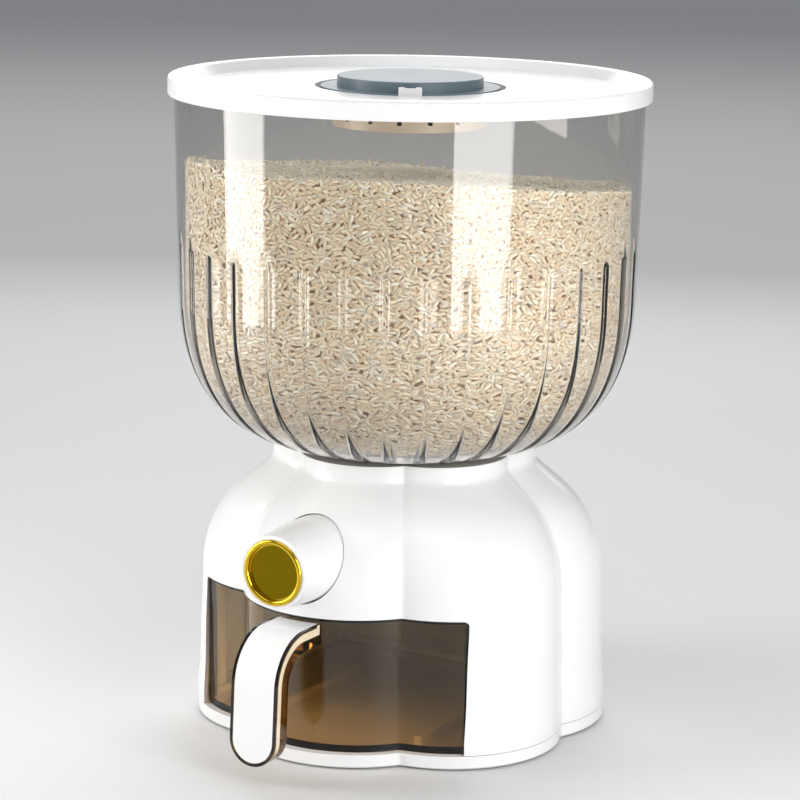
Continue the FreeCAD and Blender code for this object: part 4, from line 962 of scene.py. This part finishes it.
class DISPENSER_OT_stage(bpy.types.Operator):
    """Lays the floor and sets up the lamps, the room's light and the camera"""
    bl_idname = "dispenser.stage"
    bl_label = "Stage"

    def execute(self, context):
        studio = settings().studio
        scene = context.scene
        scene.view_settings.view_transform = "Standard"
        material, graph, place = new_material("floor_paper")
        soft = noise(graph, place, 3.0)
        surface(graph, principled(graph, {
            "Base Color": mixed(graph, soft, rgba(scaled(studio.floor, 0.97)), rgba(studio.floor)),
            "Roughness": 0.55, "IOR": 1.45}))
        mesh = bpy.data.meshes.new("floor")
        mesh.from_pydata([(x * FLOOR_REACH, y * FLOOR_REACH, 0.0)
                          for x, y in ((-1, -1), (1, -1), (1, 1), (-1, 1))], [], [(0, 1, 2, 3)])
        new_piece("floor", mesh, material)

        world = bpy.data.worlds.new("studio_room")
        scene.world = world
        world.use_nodes = True
        background = world.node_tree.nodes["Background"]
        background.inputs["Color"].default_value = rgba(ROOM_COLOUR)
        background.inputs["Strength"].default_value = studio.sky

        right = Vector((math.cos(studio.azimuth), math.sin(studio.azimuth), 0.0))
        level = math.cos(studio.elevation)
        back = Vector((math.sin(studio.azimuth) * level, -math.cos(studio.azimuth) * level,
                       math.sin(studio.elevation)))
        up = back.cross(right)
        target = right * studio.aside + Vector((0.0, 0.0, studio.height))
        lean = Matrix.Rotation(studio.roll, 3, back)
        right, up = lean @ right, lean @ up
        data = bpy.data.cameras.new("camera")
        data.lens = studio.lens
        data.sensor_width = SENSOR_WIDTH
        camera = bpy.data.objects.new("camera", data)
        scene.collection.objects.link(camera)
        camera.matrix_world = Matrix((right, up, back)).transposed().to_4x4()
        camera.location = target + back * studio.distance
        scene.camera = camera

        for lamp in LAMPS:
            self.lamp(studio, *lamp)
        return {"FINISHED"}

    def lamp(self, studio, name, bearing, distance, height, width, rise, colour):
        """A soft rectangular lamp at a bearing from the camera's, aimed at the object's middle."""
        data = bpy.data.lights.new(name + "_lamp", "AREA")
        data.shape = "RECTANGLE"
        data.size, data.size_y = width, rise
        data.energy = getattr(studio, name)
        data.color = colour
        lamp = bpy.data.objects.new(name + "_lamp", data)
        bpy.context.scene.collection.objects.link(lamp)
        turn = studio.azimuth + math.radians(bearing)
        lamp.location = (distance * math.sin(turn), -distance * math.cos(turn), height)
        aim = Vector((0.0, 0.0, studio.height)) - lamp.location
        lamp.rotation_euler = aim.to_track_quat("-Z", "Y").to_euler()


class DISPENSER_OT_base(bpy.types.Operator):
    """Finishes the white base, its plate, feet and screws"""
    bl_idname = "dispenser.base"
    bl_label = "Base"

    def execute(self, context):
        colours = settings().colours
        white = plastic("white_gloss", colours.white, gloss=0.24, coat=0.15)
        dress(white, "base_shell", "base_plate")
        dress(rubber("grey_rubber", GREY_RUBBER), "rubber_feet")
        dress(brushed_metal("bright_steel", colours.steel, gloss=0.3, stretch=(1.0, 1.0, 0.1)),
              "plate_screws", "deck_screws", "housing_screws")
        return {"FINISHED"}


class DISPENSER_OT_works(bpy.types.Operator):
    """Finishes the gate, the funnel and the other works inside the base"""
    bl_idname = "dispenser.works"
    bl_label = "Works"

    def execute(self, context):
        colours = settings().colours
        inner = plastic("inner_satin", colours.inner, gloss=0.42, grain=0.06)
        dress(inner, "drawer_deck", "gate_housing", "outlet_chute", "feed_funnel", "button_guide",
              "push_rod", "gate_plate")
        dress(rubber("soft_silicone", SOFT_SILICONE), "hopper_seal", "lid_seal", "cap_seal")
        dress(brushed_metal("spring_steel", colours.steel, gloss=0.22, stretch=(1.0, 0.2, 1.0)),
              "return_spring", "rod_pin")
        return {"FINISHED"}


class DISPENSER_OT_button(bpy.types.Operator):
    """Finishes the white button and its gold face"""
    bl_idname = "dispenser.button"
    bl_label = "Button"

    def execute(self, context):
        colours = settings().colours
        dress(bpy.data.materials["white_gloss"], "button_barrel")
        dress(gold_face("gold_face", colours.gold, colours.olive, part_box("button_cap")),
              "button_cap")
        return {"FINISHED"}


class DISPENSER_OT_drawer(bpy.types.Operator):
    """Finishes the smoked drawer and the white grip of its handle"""
    bl_idname = "dispenser.drawer"
    bl_label = "Drawer"

    def execute(self, context):
        colours = settings().colours
        box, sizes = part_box("drawer_cup"), settings().handle

        # Painted shade along the front's edges and round the handle's rim.
        def edges(graph, place):
            return painted_front_edge_shade(graph, place, box).at_least(painted_handle_rim_shade(graph, place, sizes))

        smoked = clear_plastic("smoked_clear", colours.smoked, colours.smoked_density,
                               shine=0.1, edges=edges)
        dress(smoked, "drawer_cup")
        dress(bpy.data.materials["white_gloss"], "handle_grip")
        return {"FINISHED"}


class DISPENSER_OT_hopper(bpy.types.Operator):
    """Turns the clear bucket and presses the flutes into its bowl"""
    bl_idname = "dispenser.hopper"
    bl_label = "Hopper"

    def execute(self, context):
        colours = settings().colours
        clear = clear_plastic("hopper_clear", colours.clear, colours.clear_density)
        bucket = hopper_piece(settings().hopper, clear)
        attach(bucket, "hopper")
        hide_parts("hopper")
        return {"FINISHED"}


class DISPENSER_OT_rice(bpy.types.Operator):
    """Fills the hopper with rice: a body with loose grains over its side and top"""
    bl_idname = "dispenser.rice"
    bl_label = "Rice"

    def execute(self, context):
        sizes, hopper = settings().rice, settings().hopper
        pale, deep = sizes.pale, sizes.deep
        bed = new_piece("rice_body", rings_mesh("rice_body", rice_bed_rings(hopper, sizes)),
                        bed_material("rice_packed", pale, deep))
        smooth_mesh(bed.data, 60.0)
        graph = grain_tree(grain_material("rice_grain", pale, deep))
        for step in range(sizes.sectors):
            name = "rice_grains_%d" % (step + 1)
            grains = new_piece(name, bed_faces(name, bed, sector_test(step, sizes.sectors)))
            run_tree(grains, graph, {
                "Spacing": sizes.spacing, "Grain Length": sizes.grain_length,
                "Grain Width": sizes.grain_width, "Seed": sizes.seed + step})
            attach(grains, "hopper")
        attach(bed, "hopper")
        return {"FINISHED"}


class DISPENSER_OT_lid(bpy.types.Operator):
    """Finishes the lid, the desiccant box and the latch"""
    bl_idname = "dispenser.lid"
    bl_label = "Lid"

    def execute(self, context):
        dress(bpy.data.materials["white_gloss"], "lid", "cap_latch")
        dress(plastic("box_warm_white", settings().colours.box, gloss=0.4), "desiccant_box")
        return {"FINISHED"}


class DISPENSER_OT_cap(bpy.types.Operator):
    """Finishes the grey-blue cap"""
    bl_idname = "dispenser.cap"
    bl_label = "Cap"

    def execute(self, context):
        grey_blue = settings().colours.grey_blue
        dress(plastic("grey_blue_satin", grey_blue, gloss=0.36, grain=0.05), "cap")
        return {"FINISHED"}


STEPS = ("stage", "base", "works", "button", "drawer", "hopper", "rice", "lid", "cap")


class DISPENSER_PT_panel(bpy.types.Panel):
    """Lists the steps that build the dispenser"""
    bl_idname = "DISPENSER_PT_panel"
    bl_label = "Rice Dispenser"
    bl_space_type = "VIEW_3D"
    bl_region_type = "UI"
    bl_category = "Dispenser"

    def draw(self, context):
        for step in STEPS:
            self.layout.operator("dispenser." + step)


CLASSES = (
    HopperSizes, HandleSizes, RiceSizes, FinishColours, StudioSettings, DispenserSettings,
    DISPENSER_OT_stage, DISPENSER_OT_base, DISPENSER_OT_works, DISPENSER_OT_button,
    DISPENSER_OT_drawer, DISPENSER_OT_hopper, DISPENSER_OT_rice, DISPENSER_OT_lid,
    DISPENSER_OT_cap, DISPENSER_PT_panel,
)


def register():
    for kind in CLASSES:
        bpy.utils.register_class(kind)
    bpy.types.Scene.dispenser = PointerProperty(type=DispenserSettings)


def unregister():
    del bpy.types.Scene.dispenser
    for kind in reversed(CLASSES):
        bpy.utils.unregister_class(kind)


def main():
    register()
    for step in STEPS:
        getattr(bpy.ops.dispenser, step)()


if __name__ == "__main__":
    main()
